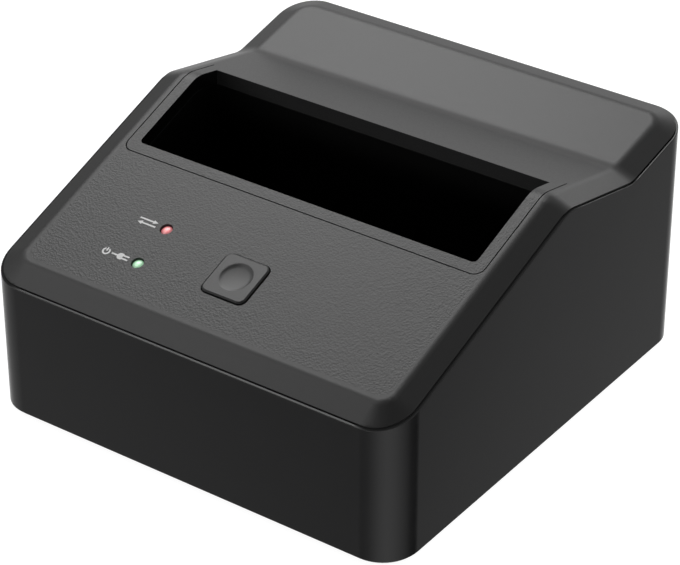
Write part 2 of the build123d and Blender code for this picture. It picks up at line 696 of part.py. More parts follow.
def front_board():
    """Small board parallel to the front slope, under the button and the lamps."""
    width = FRONT_BOARD_RIGHT - FRONT_BOARD_LEFT
    length = FRONT_BOARD_HIGH - FRONT_BOARD_LOW
    middle = ((FRONT_BOARD_LEFT + FRONT_BOARD_RIGHT) / 2, (FRONT_BOARD_LOW + FRONT_BOARD_HIGH) / 2)
    top = FRONT_BOARD_DEPTH
    bottom = top + BOARD_THICKNESS
    board = on_slope(*middle, top, bottom, Rectangle(width, length))
    lead_side = LEAD_SIDE + 2 * LEAD_HOLE_GAP
    pin_side = SWITCH_PIN_SIDE + 2 * LEAD_HOLE_GAP
    holes = [(x, up, twelve_sided(BOARD_SCREW_RADIUS + SCREW_CLEARANCE)) for x, up in front_board_holes()]
    holes += [(x, up, Rectangle(lead_side, lead_side)) for x, up in lead_places()]
    holes += [(x, up, Rectangle(pin_side, pin_side)) for x, up in switch_pin_places()]
    for x, up, hole in holes:
        board -= on_slope(x, up, top - 1, bottom + 1, hole)
    return board


def front_board_screws():
    """Screws from behind through the front board into the cover's bosses."""
    screw = pan_screw(BOARD_SCREW_HEAD, BOARD_SCREW_HEAD_HEIGHT, BOARD_SCREW_RADIUS, FRONT_SCREW_LENGTH)
    plane = slope_plane(0, BUTTON_BACK, FRONT_BOARD_DEPTH + BOARD_THICKNESS)
    return Compound([plane * (Pos(x, up, 0) * screw) for x, up in front_board_holes()])


def main_board():
    """Main board on the base's standoffs, from under the well to the sockets at the rear wall."""
    length = BOARD_REAR - BOARD_FRONT
    middle = y_at((BOARD_REAR + BOARD_FRONT) / 2)
    sheet = extrude(Rectangle(BOARD_WIDTH, length), BOARD_THICKNESS)
    board = Pos(0, middle, BOARD_TOP - BOARD_THICKNESS) * sheet
    for x, back in standoff_places():
        board -= screw_hole(x, back, BOARD_SCREW_RADIUS + SCREW_CLEARANCE, 0, TOP)
    return board


def main_board_screws():
    """Screws down through the main board into the standoffs."""
    screw = pan_screw(BOARD_SCREW_HEAD, BOARD_SCREW_HEAD_HEIGHT, BOARD_SCREW_RADIUS, BOARD_SCREW_LENGTH)
    turned = Rot(180, 0, 0) * screw
    return Compound([Pos(x, y_at(back), BOARD_TOP) * turned for x, back in standoff_places()])


def well_screws():
    """Screws up through the well's ears into the cover's bosses."""
    screw = pan_screw(BOARD_SCREW_HEAD, BOARD_SCREW_HEAD_HEIGHT, BOARD_SCREW_RADIUS, WELL_SCREW_LENGTH)
    return Compound([Pos(x, y_at(back), z - EAR_THICKNESS) * screw for x, back, z in ear_places()])


def case_screws():
    """Long screws from below, up through the base's posts into the cover's pillars."""
    screw = pan_screw(CASE_SCREW_HEAD, CASE_SCREW_HEAD_HEIGHT, CASE_SCREW_RADIUS, CASE_SCREW_LENGTH)
    seat = POST_TOP - POST_SEAT
    return Compound([Pos(x, y_at(back), seat) * screw for x, back in pillar_places()])


def rubber_feet():
    """Round feet in their seats, over the case screws."""
    plan = RegularPolygon(FOOT_RADIUS, FOOT_SIDES)
    foot = Rot(180, 0, 0) * extrude(plan, FOOT_THICKNESS, taper=FOOT_TAPER)
    return Compound([Pos(x, y_at(back), FOOT_THICKNESS) * foot for x, back in pillar_places()])


def cavity_spans():
    """X ranges of the power and data cavities of the drive connector."""
    length = POWER_CAVITY + CAVITY_WALL + DATA_CAVITY
    left = SOCKET_X - length / 2
    power = (left, left + POWER_CAVITY)
    data = (SOCKET_X + length / 2 - DATA_CAVITY, SOCKET_X + length / 2)
    return power, data


def contact_places():
    """X of every contact of the drive connector."""
    places = []
    for span, count in zip(cavity_spans(), (POWER_CONTACTS, DATA_CONTACTS)):
        middle = (span[0] + span[1]) / 2
        places += [middle + (index - (count - 1) / 2) * CONTACT_PITCH for index in range(count)]
    return places


def contact_blade(x):
    """One contact: a blade along the cavity's front wall, down to the board."""
    wall_back = SOCKET_BACK - CAVITY_DEPTH / 2
    thickness = (wall_back + CONTACT_BITE - CONTACT_THICKNESS, wall_back + CONTACT_BITE)
    half = CONTACT_WIDTH / 2
    return block((x - half, x + half), thickness, (BOARD_TOP, BOARD_TOP + SOCKET_HEIGHT - 1))


def sata_connector():
    """Upright drive connector: body with two keyed cavities and a groove for each contact."""
    half_length = SOCKET_LENGTH / 2
    half_depth = SOCKET_DEPTH / 2
    top = BOARD_TOP + SOCKET_HEIGHT
    body = block(
        (SOCKET_X - half_length, SOCKET_X + half_length),
        (SOCKET_BACK - half_depth, SOCKET_BACK + half_depth),
        (BOARD_TOP, top),
    )
    levels = (top - SOCKET_CAVITY, TOP)
    near = SOCKET_BACK - CAVITY_DEPTH / 2
    far = SOCKET_BACK + CAVITY_DEPTH / 2
    for left, right in cavity_spans():
        body -= block((left, right), (near, far), levels)
        body -= block((right - KEY_WIDTH, right), (near, far + SOCKET_LIP), levels)
    rim = body.faces().sort_by(Axis.Z)[-1].outer_wire().edges()
    body = chamfer(rim, 0.4)
    for x in contact_places():
        body -= contact_blade(x)
    return body


def sata_contacts():
    """All contacts of the drive connector."""
    return Compound([contact_blade(x) for x in contact_places()])


def port_cavity(depth_range, grow=0.0):
    """Keyed plug space of the data port: a chamfered lower part with a narrower upper one."""
    low = BOARD_TOP + PORT_CAVITY_RISE
    mid = low + PORT_LOWER_HEIGHT
    half = PORT_LOWER_WIDTH / 2 + grow
    lower = block((PORT_X - half, PORT_X + half), depth_range, (low - grow, mid + grow))
    corners = lower.edges().filter_by(Axis.Y).sort_by(Axis.Z)[-2:]
    lower = chamfer(corners, PORT_CHAMFER)
    slim = PORT_UPPER_WIDTH / 2 + grow
    upper = block((PORT_X - slim, PORT_X + slim), depth_range, (mid - 1, mid + PORT_UPPER_HEIGHT + grow))
    return lower + upper


def usb_port_shell():
    """Sheet metal shell of the data port, folded round the insert, its mouth just inside the wall."""
    low, high = port_z()
    front = CASE_DEPTH - PORT_SUNK - PORT_LENGTH
    rear = CASE_DEPTH - PORT_SUNK
    half = PORT_WIDTH / 2
    inner = half - PORT_SHEET
    outside = block((PORT_X - half, PORT_X + half), (front, rear), (low, high))
    folds = outside.edges().filter_by(Axis.Y)
    outside = fillet(folds, 0.6)
    levels = (low - 1, high - PORT_SHEET)
    inside = block((PORT_X - inner, PORT_X + inner), (front, rear - PORT_SHEET), levels)
    return outside - inside - port_cavity((rear - 1, rear + 1))


def port_insert():
    """Moulded insert of the data port with the plug space and the tongue in it."""
    low, high = port_z()
    front = CASE_DEPTH - PORT_SUNK - PORT_LENGTH + PORT_LIP
    rear = CASE_DEPTH - PORT_SUNK - PORT_SHEET
    half = PORT_WIDTH / 2 - PORT_SHEET
    body = block((PORT_X - half, PORT_X + half), (front, rear), (low, high - PORT_SHEET))
    body -= port_cavity((rear - PORT_CAVITY_DEPTH, rear + 1))
    tongue = tongue_box()
    return body + tongue


def tongue_box():
    """Tongue in the middle of the data port's lower space."""
    middle = BOARD_TOP + PORT_CAVITY_RISE + PORT_LOWER_HEIGHT / 2
    half = TONGUE_WIDTH / 2
    end = CASE_DEPTH - PORT_SUNK - PORT_SHEET - PORT_CAVITY_DEPTH + TONGUE_LENGTH
    start = end - TONGUE_LENGTH - 1
    levels = (middle - TONGUE_HEIGHT / 2, middle + TONGUE_HEIGHT / 2)
    return block((PORT_X - half, PORT_X + half), (start, end), levels)


def port_contacts():
    """Contact strips on both faces of the data port's tongue."""
    box = tongue_box().bounding_box()
    strips = []
    for index in range(2):
        x = PORT_X + (index - 0.5) * PORT_CONTACT_PITCH
        half = PORT_CONTACT_WIDTH / 2
        backs = (box.min.Y + CASE_DEPTH / 2 + 1.5, box.max.Y + CASE_DEPTH / 2 - 1)
        strips.append(block((x - half, x + half), backs, (box.max.Z, box.max.Z + 0.2)))
        strips.append(block((x - half, x + half), backs, (box.min.Z - 0.2, box.min.Z)))
    return Compound(strips)


def jack_plane(back):
    """Plane across the power jack's axis, facing out of the rear wall."""
    return Plane((JACK_X, y_at(back), BOARD_TOP + JACK_AXIS_RISE), x_dir=(1, 0, 0), z_dir=(0, 1, 0))


def jack_range():
    """Distances behind the front face of the power jack's two ends."""
    rear = CASE_DEPTH - WALL
    return rear - JACK_LENGTH, rear


def dc_jack():
    """Power jack: block behind the rear wall with the plug's bore."""
    half = JACK_WIDTH / 2
    near, far = jack_range()
    body = block((JACK_X - half, JACK_X + half), (near, far), (BOARD_TOP, BOARD_TOP + JACK_HEIGHT))
    upright = body.edges().filter_by(Axis.Y).sort_by(Axis.Z)[-2:]
    body = fillet(upright, 1.0)
    body -= jack_plane(far - JACK_BORE_DEPTH) * extrude(Circle(JACK_BORE_RADIUS), JACK_LENGTH)
    return body


def dc_jack_pin():
    """Centre pin of the power jack, rounded at its tip."""
    near = jack_range()[1] - JACK_BORE_DEPTH
    pin = extrude(Circle(JACK_PIN_RADIUS), JACK_PIN_LENGTH)
    pin = chamfer(pin.edges().sort_by(Axis.Z)[-1], JACK_PIN_RADIUS * 0.4)
    return jack_plane(near) * pin


def dc_jack_spring():
    """Leaf along the lower side of the jack's bore."""
    near = jack_range()[1] - JACK_BORE_DEPTH
    drop = math.sqrt(JACK_BORE_RADIUS**2 - (JACK_SPRING_WIDTH / 2) ** 2)
    leaf = extrude(Rectangle(JACK_SPRING_WIDTH, JACK_SPRING_THICKNESS), JACK_BORE_DEPTH - 1)
    return jack_plane(near) * (Pos(0, drop - JACK_SPRING_THICKNESS / 2, 0) * leaf)


def board_place(x, ahead):
    """Place on the main board, ahead of its rear edge."""
    return Pos(x, y_at(BOARD_REAR - ahead), BOARD_TOP)


def board_part(x, ahead, width, length, height):
    """Block standing on the main board."""
    return board_place(x, ahead) * Pos(0, 0, height / 2) * Box(width, length, height)


def bridge_chip():
    """Square bridge chip with a bevelled upper edge."""
    chip = board_part(CHIP_X, CHIP_AHEAD, CHIP_SIDE, CHIP_SIDE, CHIP_HEIGHT)
    return chamfer(chip.faces().sort_by(Axis.Z)[-1].edges(), 0.25)


def bridge_chip_legs():
    """Legs along the four sides of the bridge chip."""
    legs = []
    leg = Box(LEG_REACH, LEG_WIDTH, LEG_HEIGHT)
    out = CHIP_SIDE / 2 + LEG_REACH / 2
    middle = board_place(CHIP_X, CHIP_AHEAD) * Pos(0, 0, LEG_HEIGHT / 2)
    for turn in range(4):
        for index in range(CHIP_LEGS):
            along = (index - (CHIP_LEGS - 1) / 2) * LEG_PITCH
            legs.append(middle * Rot(0, 0, 90 * turn) * Pos(out, along, 0) * leg)
    return Compound(legs)


def memory_chip():
    """Small memory chip beside the bridge chip."""
    return board_part(MEMORY_X, MEMORY_AHEAD, SMALL_CHIP_WIDTH, SMALL_CHIP_LENGTH, SMALL_CHIP_HEIGHT)


def inductor_rows():
    """Distances ahead of the board's rear edge of the two inductors."""
    return (INDUCTOR_AHEAD, INDUCTOR_AHEAD + INDUCTOR_PITCH)


def regulator_chips():
    """Two regulators ahead of the inductors."""
    ahead = INDUCTOR_AHEAD + INDUCTOR_PITCH + REGULATOR_TO_INDUCTOR
    sizes = (SMALL_CHIP_WIDTH, SMALL_CHIP_LENGTH, SMALL_CHIP_HEIGHT)
    return Compound([board_part(INDUCTOR_X + side * SMALL_CHIP_WIDTH, ahead, *sizes) for side in (-1, 1)])


def power_inductors():
    """Two shielded inductors with bevelled corners."""
    coil = extrude(Rectangle(INDUCTOR_SIDE, INDUCTOR_SIDE), INDUCTOR_HEIGHT)
    coil = chamfer(coil.edges().filter_by(Axis.Z), INDUCTOR_CORNER)
    return Compound([board_place(INDUCTOR_X, ahead) * coil for ahead in inductor_rows()])


def filter_capacitors():
    """Round cans on square bases."""
    base = extrude(Rectangle(CAPACITOR_BASE, CAPACITOR_BASE), CAPACITOR_BASE_HEIGHT)
    can = extrude(RegularPolygon(CAPACITOR_RADIUS, POST_SIDES), CAPACITOR_HEIGHT)
    return Compound([board_place(x, CAPACITOR_AHEAD) * (base + can) for x in CAPACITOR_X])


def clock_crystal():
    """Flat metal can of the clock crystal."""
    can = extrude(SlotOverall(CRYSTAL_LENGTH, CRYSTAL_WIDTH), CRYSTAL_HEIGHT)
    return board_place(CHIP_X, CRYSTAL_AHEAD) * can


def board_resistors():
    """Row of small resistors just behind the drive connector."""
    row = []
    back = SOCKET_BACK + SOCKET_DEPTH / 2 + RESISTORS_TO_SOCKET + RESISTOR_LENGTH / 2
    ahead = BOARD_REAR - back
    for index in range(RESISTOR_COUNT):
        x = CHIP_X + (index - (RESISTOR_COUNT - 1) / 2) * RESISTOR_PITCH
        row.append(board_part(x, ahead, RESISTOR_WIDTH, RESISTOR_LENGTH, RESISTOR_HEIGHT))
    return Compound(row)


def ribbon_ends():
    """Side-view points of the ribbon cable, from the front board's header to the main board's."""
    depth = FRONT_BOARD_DEPTH + BOARD_THICKNESS + HEADER_HEIGHT / 2
    plane = slope_plane(0, BUTTON_BACK, depth)
    start = plane.from_local_coords((0, FRONT_HEADER_UP + HEADER_LENGTH / 2 - RIBBON_SOCKETED, 0))
    drop_y = y_at(RIBBON_DROP_BACK)
    turn = (drop_y, start.Z + (drop_y - start.Y) * math.tan(SLOPE))
    level = BOARD_TOP + HEADER_HEIGHT / 2
    end = (y_at(MAIN_HEADER_BACK + RIBBON_SOCKETED), level)
    return (start.Y, start.Z), turn, (drop_y, level), end


def ribbon_cable():
    """Flat cable: down from the front board, then under the well to the main board."""
    points = ribbon_ends()
    path = Plane.YZ * FilletPolyline(*points, radius=RIBBON_BEND)
    across = Plane(origin=path @ 0, x_dir=(1, 0, 0), z_dir=path % 0)
    section = across * Rectangle(RIBBON_WIDTH, RIBBON_THICKNESS)
    return Pos(RIBBON_X, 0, 0) * sweep(section, path)


def front_header():
    """Header of the ribbon cable behind the front board."""
    top = FRONT_BOARD_DEPTH + BOARD_THICKNESS
    plan = Rectangle(HEADER_WIDTH, HEADER_LENGTH)
    body = on_slope(RIBBON_X, FRONT_HEADER_UP, top, top + HEADER_HEIGHT, plan)
    return body - ribbon_cable()


def main_header():
    """Header of the ribbon cable on the main board."""
    ahead = BOARD_REAR - MAIN_HEADER_BACK - HEADER_LENGTH / 2
    return board_part(RIBBON_X, ahead, HEADER_WIDTH, HEADER_LENGTH, HEADER_HEIGHT) - ribbon_cable()


PARTS = {
    "base_shell": base_shell,
    "top_cover": top_cover,
    "slot_bezel": slot_bezel,
    "drive_well": drive_well,
    "power_button": power_button,
    "switch_plunger": switch_plunger,
    "power_switch": power_switch,
    "switch_terminals": switch_terminals,
    "data_lamp": lambda: lamp(up_slope(DATA_LAMP_BACK)),
    "power_lamp": lambda: lamp(up_slope(POWER_LAMP_BACK)),
    "lamp_leads": lamp_leads,
    "front_board": front_board,
    "front_board_screws": front_board_screws,
    "front_header": front_header,
    "ribbon_cable": ribbon_cable,
    "main_header": main_header,
    "main_board": main_board,
    "main_board_screws": main_board_screws,
    "sata_connector": sata_connector,
    "sata_contacts": sata_contacts,
    "usb_port_shell": usb_port_shell,
    "usb_port_insert": port_insert,
    "usb_port_contacts": port_contacts,
    "dc_jack": dc_jack,
    "dc_jack_pin": dc_jack_pin,
    "dc_jack_spring": dc_jack_spring,
    "bridge_chip": bridge_chip,
    "bridge_chip_legs": bridge_chip_legs,
    "memory_chip": memory_chip,
    "regulator_chips": regulator_chips,
    "power_inductors": power_inductors,
    "filter_capacitors": filter_capacitors,
    "clock_crystal": clock_crystal,
    "board_resistors": board_resistors,
    "well_screws": well_screws,
    "case_screws": case_screws,
    "rubber_feet": rubber_feet,
}

for name, make in PARTS.items():
    solid = make()
    export_step(solid, f"parts/{name}.step")
    print(name, "solids", len(solid.solids()))
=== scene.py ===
"""Studio scene of a desktop docking station for one bare hard drive.

Every length is in metres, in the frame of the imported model: the origin is at the middle of the
footprint on the table, the front faces -Y and +X is to its right.
"""
import json
import logging
import math
from dataclasses import dataclass
from enum import Enum
from typing import Any

import bmesh
import bpy
from mathutils import Matrix, Vector


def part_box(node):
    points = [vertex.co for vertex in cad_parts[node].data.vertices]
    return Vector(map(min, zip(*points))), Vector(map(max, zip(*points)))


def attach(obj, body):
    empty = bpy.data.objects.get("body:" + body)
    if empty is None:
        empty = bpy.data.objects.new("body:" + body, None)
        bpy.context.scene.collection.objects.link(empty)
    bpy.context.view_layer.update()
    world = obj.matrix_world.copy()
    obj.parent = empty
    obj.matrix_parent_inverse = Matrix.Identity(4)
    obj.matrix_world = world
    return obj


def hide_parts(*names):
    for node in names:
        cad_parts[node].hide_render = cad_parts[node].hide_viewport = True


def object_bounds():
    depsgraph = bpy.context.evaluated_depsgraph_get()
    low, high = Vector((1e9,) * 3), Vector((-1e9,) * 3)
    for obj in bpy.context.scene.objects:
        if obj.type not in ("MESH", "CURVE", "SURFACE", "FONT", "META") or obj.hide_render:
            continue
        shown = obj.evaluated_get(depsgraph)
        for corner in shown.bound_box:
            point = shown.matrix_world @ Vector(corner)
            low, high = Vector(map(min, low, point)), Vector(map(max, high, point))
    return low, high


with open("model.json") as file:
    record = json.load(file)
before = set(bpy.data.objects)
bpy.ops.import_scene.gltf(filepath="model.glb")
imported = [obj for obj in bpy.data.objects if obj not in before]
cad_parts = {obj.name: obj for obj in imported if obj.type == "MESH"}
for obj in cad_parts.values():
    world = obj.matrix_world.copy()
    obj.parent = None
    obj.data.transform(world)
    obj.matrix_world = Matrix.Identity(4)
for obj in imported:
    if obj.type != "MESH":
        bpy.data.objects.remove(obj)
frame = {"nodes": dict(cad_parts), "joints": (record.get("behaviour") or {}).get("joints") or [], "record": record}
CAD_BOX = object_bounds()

MM = 0.001
RIGHT = Vector((1.0, 0.0, 0.0))
UP = Vector((0.0, 0.0, 1.0))
WELD = 0.0005 * MM
NOISE_LOW = 0.3
NOISE_HIGH = 0.7
SURFACE = "_surface"
LOG = logging.getLogger("docking_station")
Socket = bpy.types.NodeSocket
Number = float | Socket
Colour = tuple[float, float, float]
Tone = Colour | Socket
Stops = tuple[tuple[float, float], ...]


# Frame of the case

@dataclass(frozen=True)
class FrontSlope:
    """The cover's front slope, which carries the button, the lamps and their signs."""

    rise_at_front: float = 42.4 * MM

    def front(self) -> float:
        """Y of the case's front face."""
        return CAD_BOX[0].y

    def normal(self) -> Vector:
        """Direction out of the slope, against the way the button is pressed."""
        return -Vector(frame["joints"][0]["axis"]).normalized()

    def at(self, x: float, back: float, lift: float = 0.0) -> Matrix:
        """Frame on the slope.

        Args:
            x: Distance to the right of the middle.
            back: Distance behind the case's front face.
            lift: Height of the frame's origin over the surface.

        Returns:
            A matrix whose X runs to the right, Y up the slope and Z out of it.
        """
        out = self.normal()
        up = out.cross(RIGHT)
        surface = Vector((x, self.front() + back, self.rise_at_front - back * out.y / out.z))
        turned = Matrix((RIGHT, up, out)).transposed().to_4x4()
        return Matrix.Translation(surface + out * lift) @ turned


# Finishes

class ShaderTree:
    """Adds and links the nodes of one shader tree."""

    def __init__(self, tree: bpy.types.ShaderNodeTree) -> None:
        """Start from an emptied tree.

        Args:
            tree: The tree of a material or of the surroundings.
        """
        self.tree = tree
        self.tree.nodes.clear()

    def add(self, kind: str, **inputs: Any) -> bpy.types.Node:
        """Add a node.

        Args:
            kind: Blender's name of the node type.
            inputs: Values or sockets for its inputs, with underscores for spaces.

        Returns:
            The new node.
        """
        node = self.tree.nodes.new(kind)
        for name, value in inputs.items():
            self.feed(node.inputs[name.replace("_", " ")], value)
        return node

    def feed(self, socket: Socket, value: Any) -> None:
        """Give an input a value, or link a socket to it.

        Args:
            socket: The input.
            value: A number, a vector, a colour or another node's socket.
        """
        if isinstance(value, bpy.types.NodeSocket):
            self.tree.links.new(value, socket)
        elif isinstance(value, tuple) and len(value) == 3 and socket.type == "RGBA":
            socket.default_value = (*value, 1.0)
        else:
            socket.default_value = value

    def spread(self, factor: Socket, low: float, high: Number,
               start: float = NOISE_LOW, end: float = NOISE_HIGH) -> Socket:
        """Map a factor to a range, and hold it at the range's ends.

        Args:
            factor: The factor, a noise where start and end aren't given.
            low: Result where the factor is start.
            high: Result where the factor is end.
            start: One end of the factor.
            end: The other end of the factor.

        Returns:
            The mapped value.
        """
        node = self.add("ShaderNodeMapRange", Value=factor, From_Min=start, From_Max=end,
                        To_Min=low, To_Max=high)
        return node.outputs["Result"]

    def blend(self, factor: Socket, first: Tone, second: Tone) -> Socket:
        """Mix two colours.

        Args:
            factor: Share of the second colour.
            first: The first colour.
            second: The second colour.

        Returns:
            The mixed colour.
        """
        node = self.add("ShaderNodeMix")
        node.data_type = "RGBA"
        self.feed(node.inputs[0], factor)
        self.feed(node.inputs[6], first)
        self.feed(node.inputs[7], second)
        return node.outputs[2]

    def calculate(self, operation: str, *values: Number) -> Socket:
        """Calculate with numbers.

        Args:
            operation: Blender's name of the calculation.
            values: The numbers or sockets that it takes.

        Returns:
            The result.
        """
        node = self.add("ShaderNodeMath")
        node.operation = operation
        for socket, value in zip(node.inputs, values):
            self.feed(socket, value)
        return node.outputs[0]

    def product(self, first: Number, *others: Number) -> Socket:
        """Multiply two or more numbers.

        Args:
            first: The first number or socket.
            others: The ones that it is multiplied by.

        Returns:
            Their product.
        """
        total = first
        for other in others:
            total = self.calculate("MULTIPLY", total, other)
        return total

    def measure(self, operation: str, *vectors: Any) -> Socket:
        """Measure vectors, as a length or a dot product does.

        Args:
            operation: Blender's name of the calculation.
            vectors: The vectors or sockets that it takes.

        Returns:
            The measure.
        """
        node = self.add("ShaderNodeVectorMath")
        node.operation = operation
        for socket, vector in zip(node.inputs, vectors):
            self.feed(socket, vector)
        return node.outputs["Value"]

    def axes(self, vector: Socket) -> bpy.types.bpy_prop_collection:
        """X, Y and Z of a vector, by name."""
        return self.add("ShaderNodeSeparateXYZ", Vector=vector).outputs


class Shader(ShaderTree):
    """Builds one material round its main shader."""

    def __init__(self, name: str) -> None:
        """Start an empty node material with its output and its main shader.

        Args:
            name: Name of the material.
        """
        self.material = bpy.data.materials.new(name + SURFACE)
        self.material.use_nodes = True
        super().__init__(self.material.node_tree)
        self.surface = self.add("ShaderNodeBsdfPrincipled")
        output = self.add("ShaderNodeOutputMaterial")
        self.tree.links.new(self.surface.outputs["BSDF"], output.inputs["Surface"])
        source = self.add("ShaderNodeTexCoord")
        self.place = source.outputs["Object"]
        self.facing = source.outputs["Normal"]

    def noise(self, size: float, detail: float = 2.0, roughness: float = 0.5) -> Socket:
        """Soft noise over the surface.

        Args:
            size: Size of its spots.
            detail: How many finer layers it has.
            roughness: How strong the finer layers are.

        Returns:
            The noise, from 0 to 1.
        """
        node = self.add("ShaderNodeTexNoise", Vector=self.place, Scale=1.0 / size, Detail=detail,
                        Roughness=roughness)
        return node.outputs["Fac"]

    def cells(self, size: float) -> Socket:
        """Cells of about that size, as the distance to their middle."""
        return self.add("ShaderNodeTexVoronoi", Vector=self.place, Scale=1.0 / size).outputs["Distance"]

    def outward(self) -> Socket:
        """How far the surface faces out of the front slope, 1 where it lies along the slope."""
        return self.measure("DOT_PRODUCT", self.facing, tuple(FrontSlope().normal()))

    def mottle(self, factor: Socket, colour: Colour, wander: float) -> Socket:
        """The colour, from a share wander darker to as much lighter along the factor."""
        return self.blend(factor, shade(colour, 1 - wander), shade(colour, 1 + wander))

    def bump(self, height: Socket, depth: float) -> None:
        """Roughen the surface by a height pattern that is depth metres deep."""
        node = self.add("ShaderNodeBump", Height=height, Distance=depth, Strength=1.0)
        self.tree.links.new(node.outputs["Normal"], self.surface.inputs["Normal"])

    def set(self, **inputs: Any) -> None:
        """Set or link inputs of the main shader, with underscores for spaces."""
        for name, value in inputs.items():
            self.feed(self.surface.inputs[name.replace("_", " ")], value)


def shade(colour: Colour, factor: float) -> Colour:
    """The colour made lighter or darker by a factor."""
    return tuple(min(1.0, part * factor) for part in colour)


@dataclass(frozen=True)
class MouldedPlastic:
    """Moulded plastic whose tone and gloss wander a little, over a fine grain."""

    name: str
    colour: Colour
    roughness: tuple[float, float]
    specular: float = 0.5
    grain: float = 0.6 * MM
    depth: float = 0.004 * MM
    leathery: float = 0.0
    leather_grains: float = 1.4
    wander: float = 0.15
    patch: float = 14.0 * MM
    # Share of the colour kept on walls that stand out of the slope: below 1 it is painted shade.
    wall_tone: float = 1.0
    wall_turn: tuple[float, float] = (math.radians(65), math.radians(35))

    def material(self) -> bpy.types.Material:
        """Build the material.

        Returns:
            The material. Where it has a painted wall shade, the walls that stand out of the slope are darkened by
            that painted shade.
        """
        shader = Shader(self.name)
        broad = shader.noise(self.patch, detail=3.0)
        fine = shader.noise(self.grain, detail=3.0, roughness=0.6)
        tone = shader.mottle(broad, self.colour, self.wander)
        # Painted shade: walls that stand out of the front slope get a darker base colour where this is set.
        if self.wall_tone < 1:
            steep, flat = (math.cos(turn) for turn in self.wall_turn)
            face = shader.spread(shader.outward(), 0.0, 1.0, steep, flat)
            tone = shader.blend(face, shade(self.colour, self.wall_tone), tone)
        shader.set(
            Base_Color=tone,
            Roughness=self.gloss(shader, fine),
            Specular_IOR_Level=self.specular,
        )
        height = fine
        if self.leathery:
            cells = shader.cells(self.grain * self.leather_grains)
            height = shader.calculate("MULTIPLY_ADD", cells, self.leathery, fine)
        shader.bump(height, self.depth)
        return shader.material

    def gloss(self, shader: Shader, fine: Socket) -> Socket:
        """Roughness over the surface, from the fine pattern."""
        return shader.spread(fine, *self.roughness)


@dataclass(frozen=True)
class LedgedPlastic(MouldedPlastic):
    """Moulded plastic with a ledge under the seam, satin in front and matt at the corners and sides."""

    satin: float = 0.25
    matt: float = 0.9
    steep: float = 0.45
    level: float = 0.8
    corner: float = 52.0 * MM
    front: float = 2.0 * MM
    rear: float = 82.0 * MM
    fade: float = 4.0 * MM

    def gloss(self, shader: Shader, fine: Socket) -> Socket:
        """Roughness over the surface, with the ledge told by the way it faces.

        Args:
            shader: The material's shader.
            fine: The fine pattern.

        Returns:
            The roughness.
        """
        place = shader.axes(shader.place)
        front, rear = (CAD_BOX[0].y + reach for reach in (self.front, self.rear))
        side = shader.calculate("ABSOLUTE", place["X"])
        aside = shader.spread(side, 0.0, 1.0, self.corner, self.corner + self.fade)
        behind = shader.spread(place["Y"], 0.0, 1.0, front, front + self.fade)
        before = shader.spread(place["Y"], 1.0, 0.0, rear - self.fade, rear)
        dull = shader.product(shader.calculate("MAXIMUM", aside, behind), before)
        flat = shader.spread(shader.axes(shader.facing)["Z"], 0.0, 1.0, self.steep, self.level)
        ledge = shader.product(flat, shader.spread(dull, self.satin, self.matt, 0.0, 1.0))
        return shader.calculate("MAXIMUM", super().gloss(shader, fine), ledge)


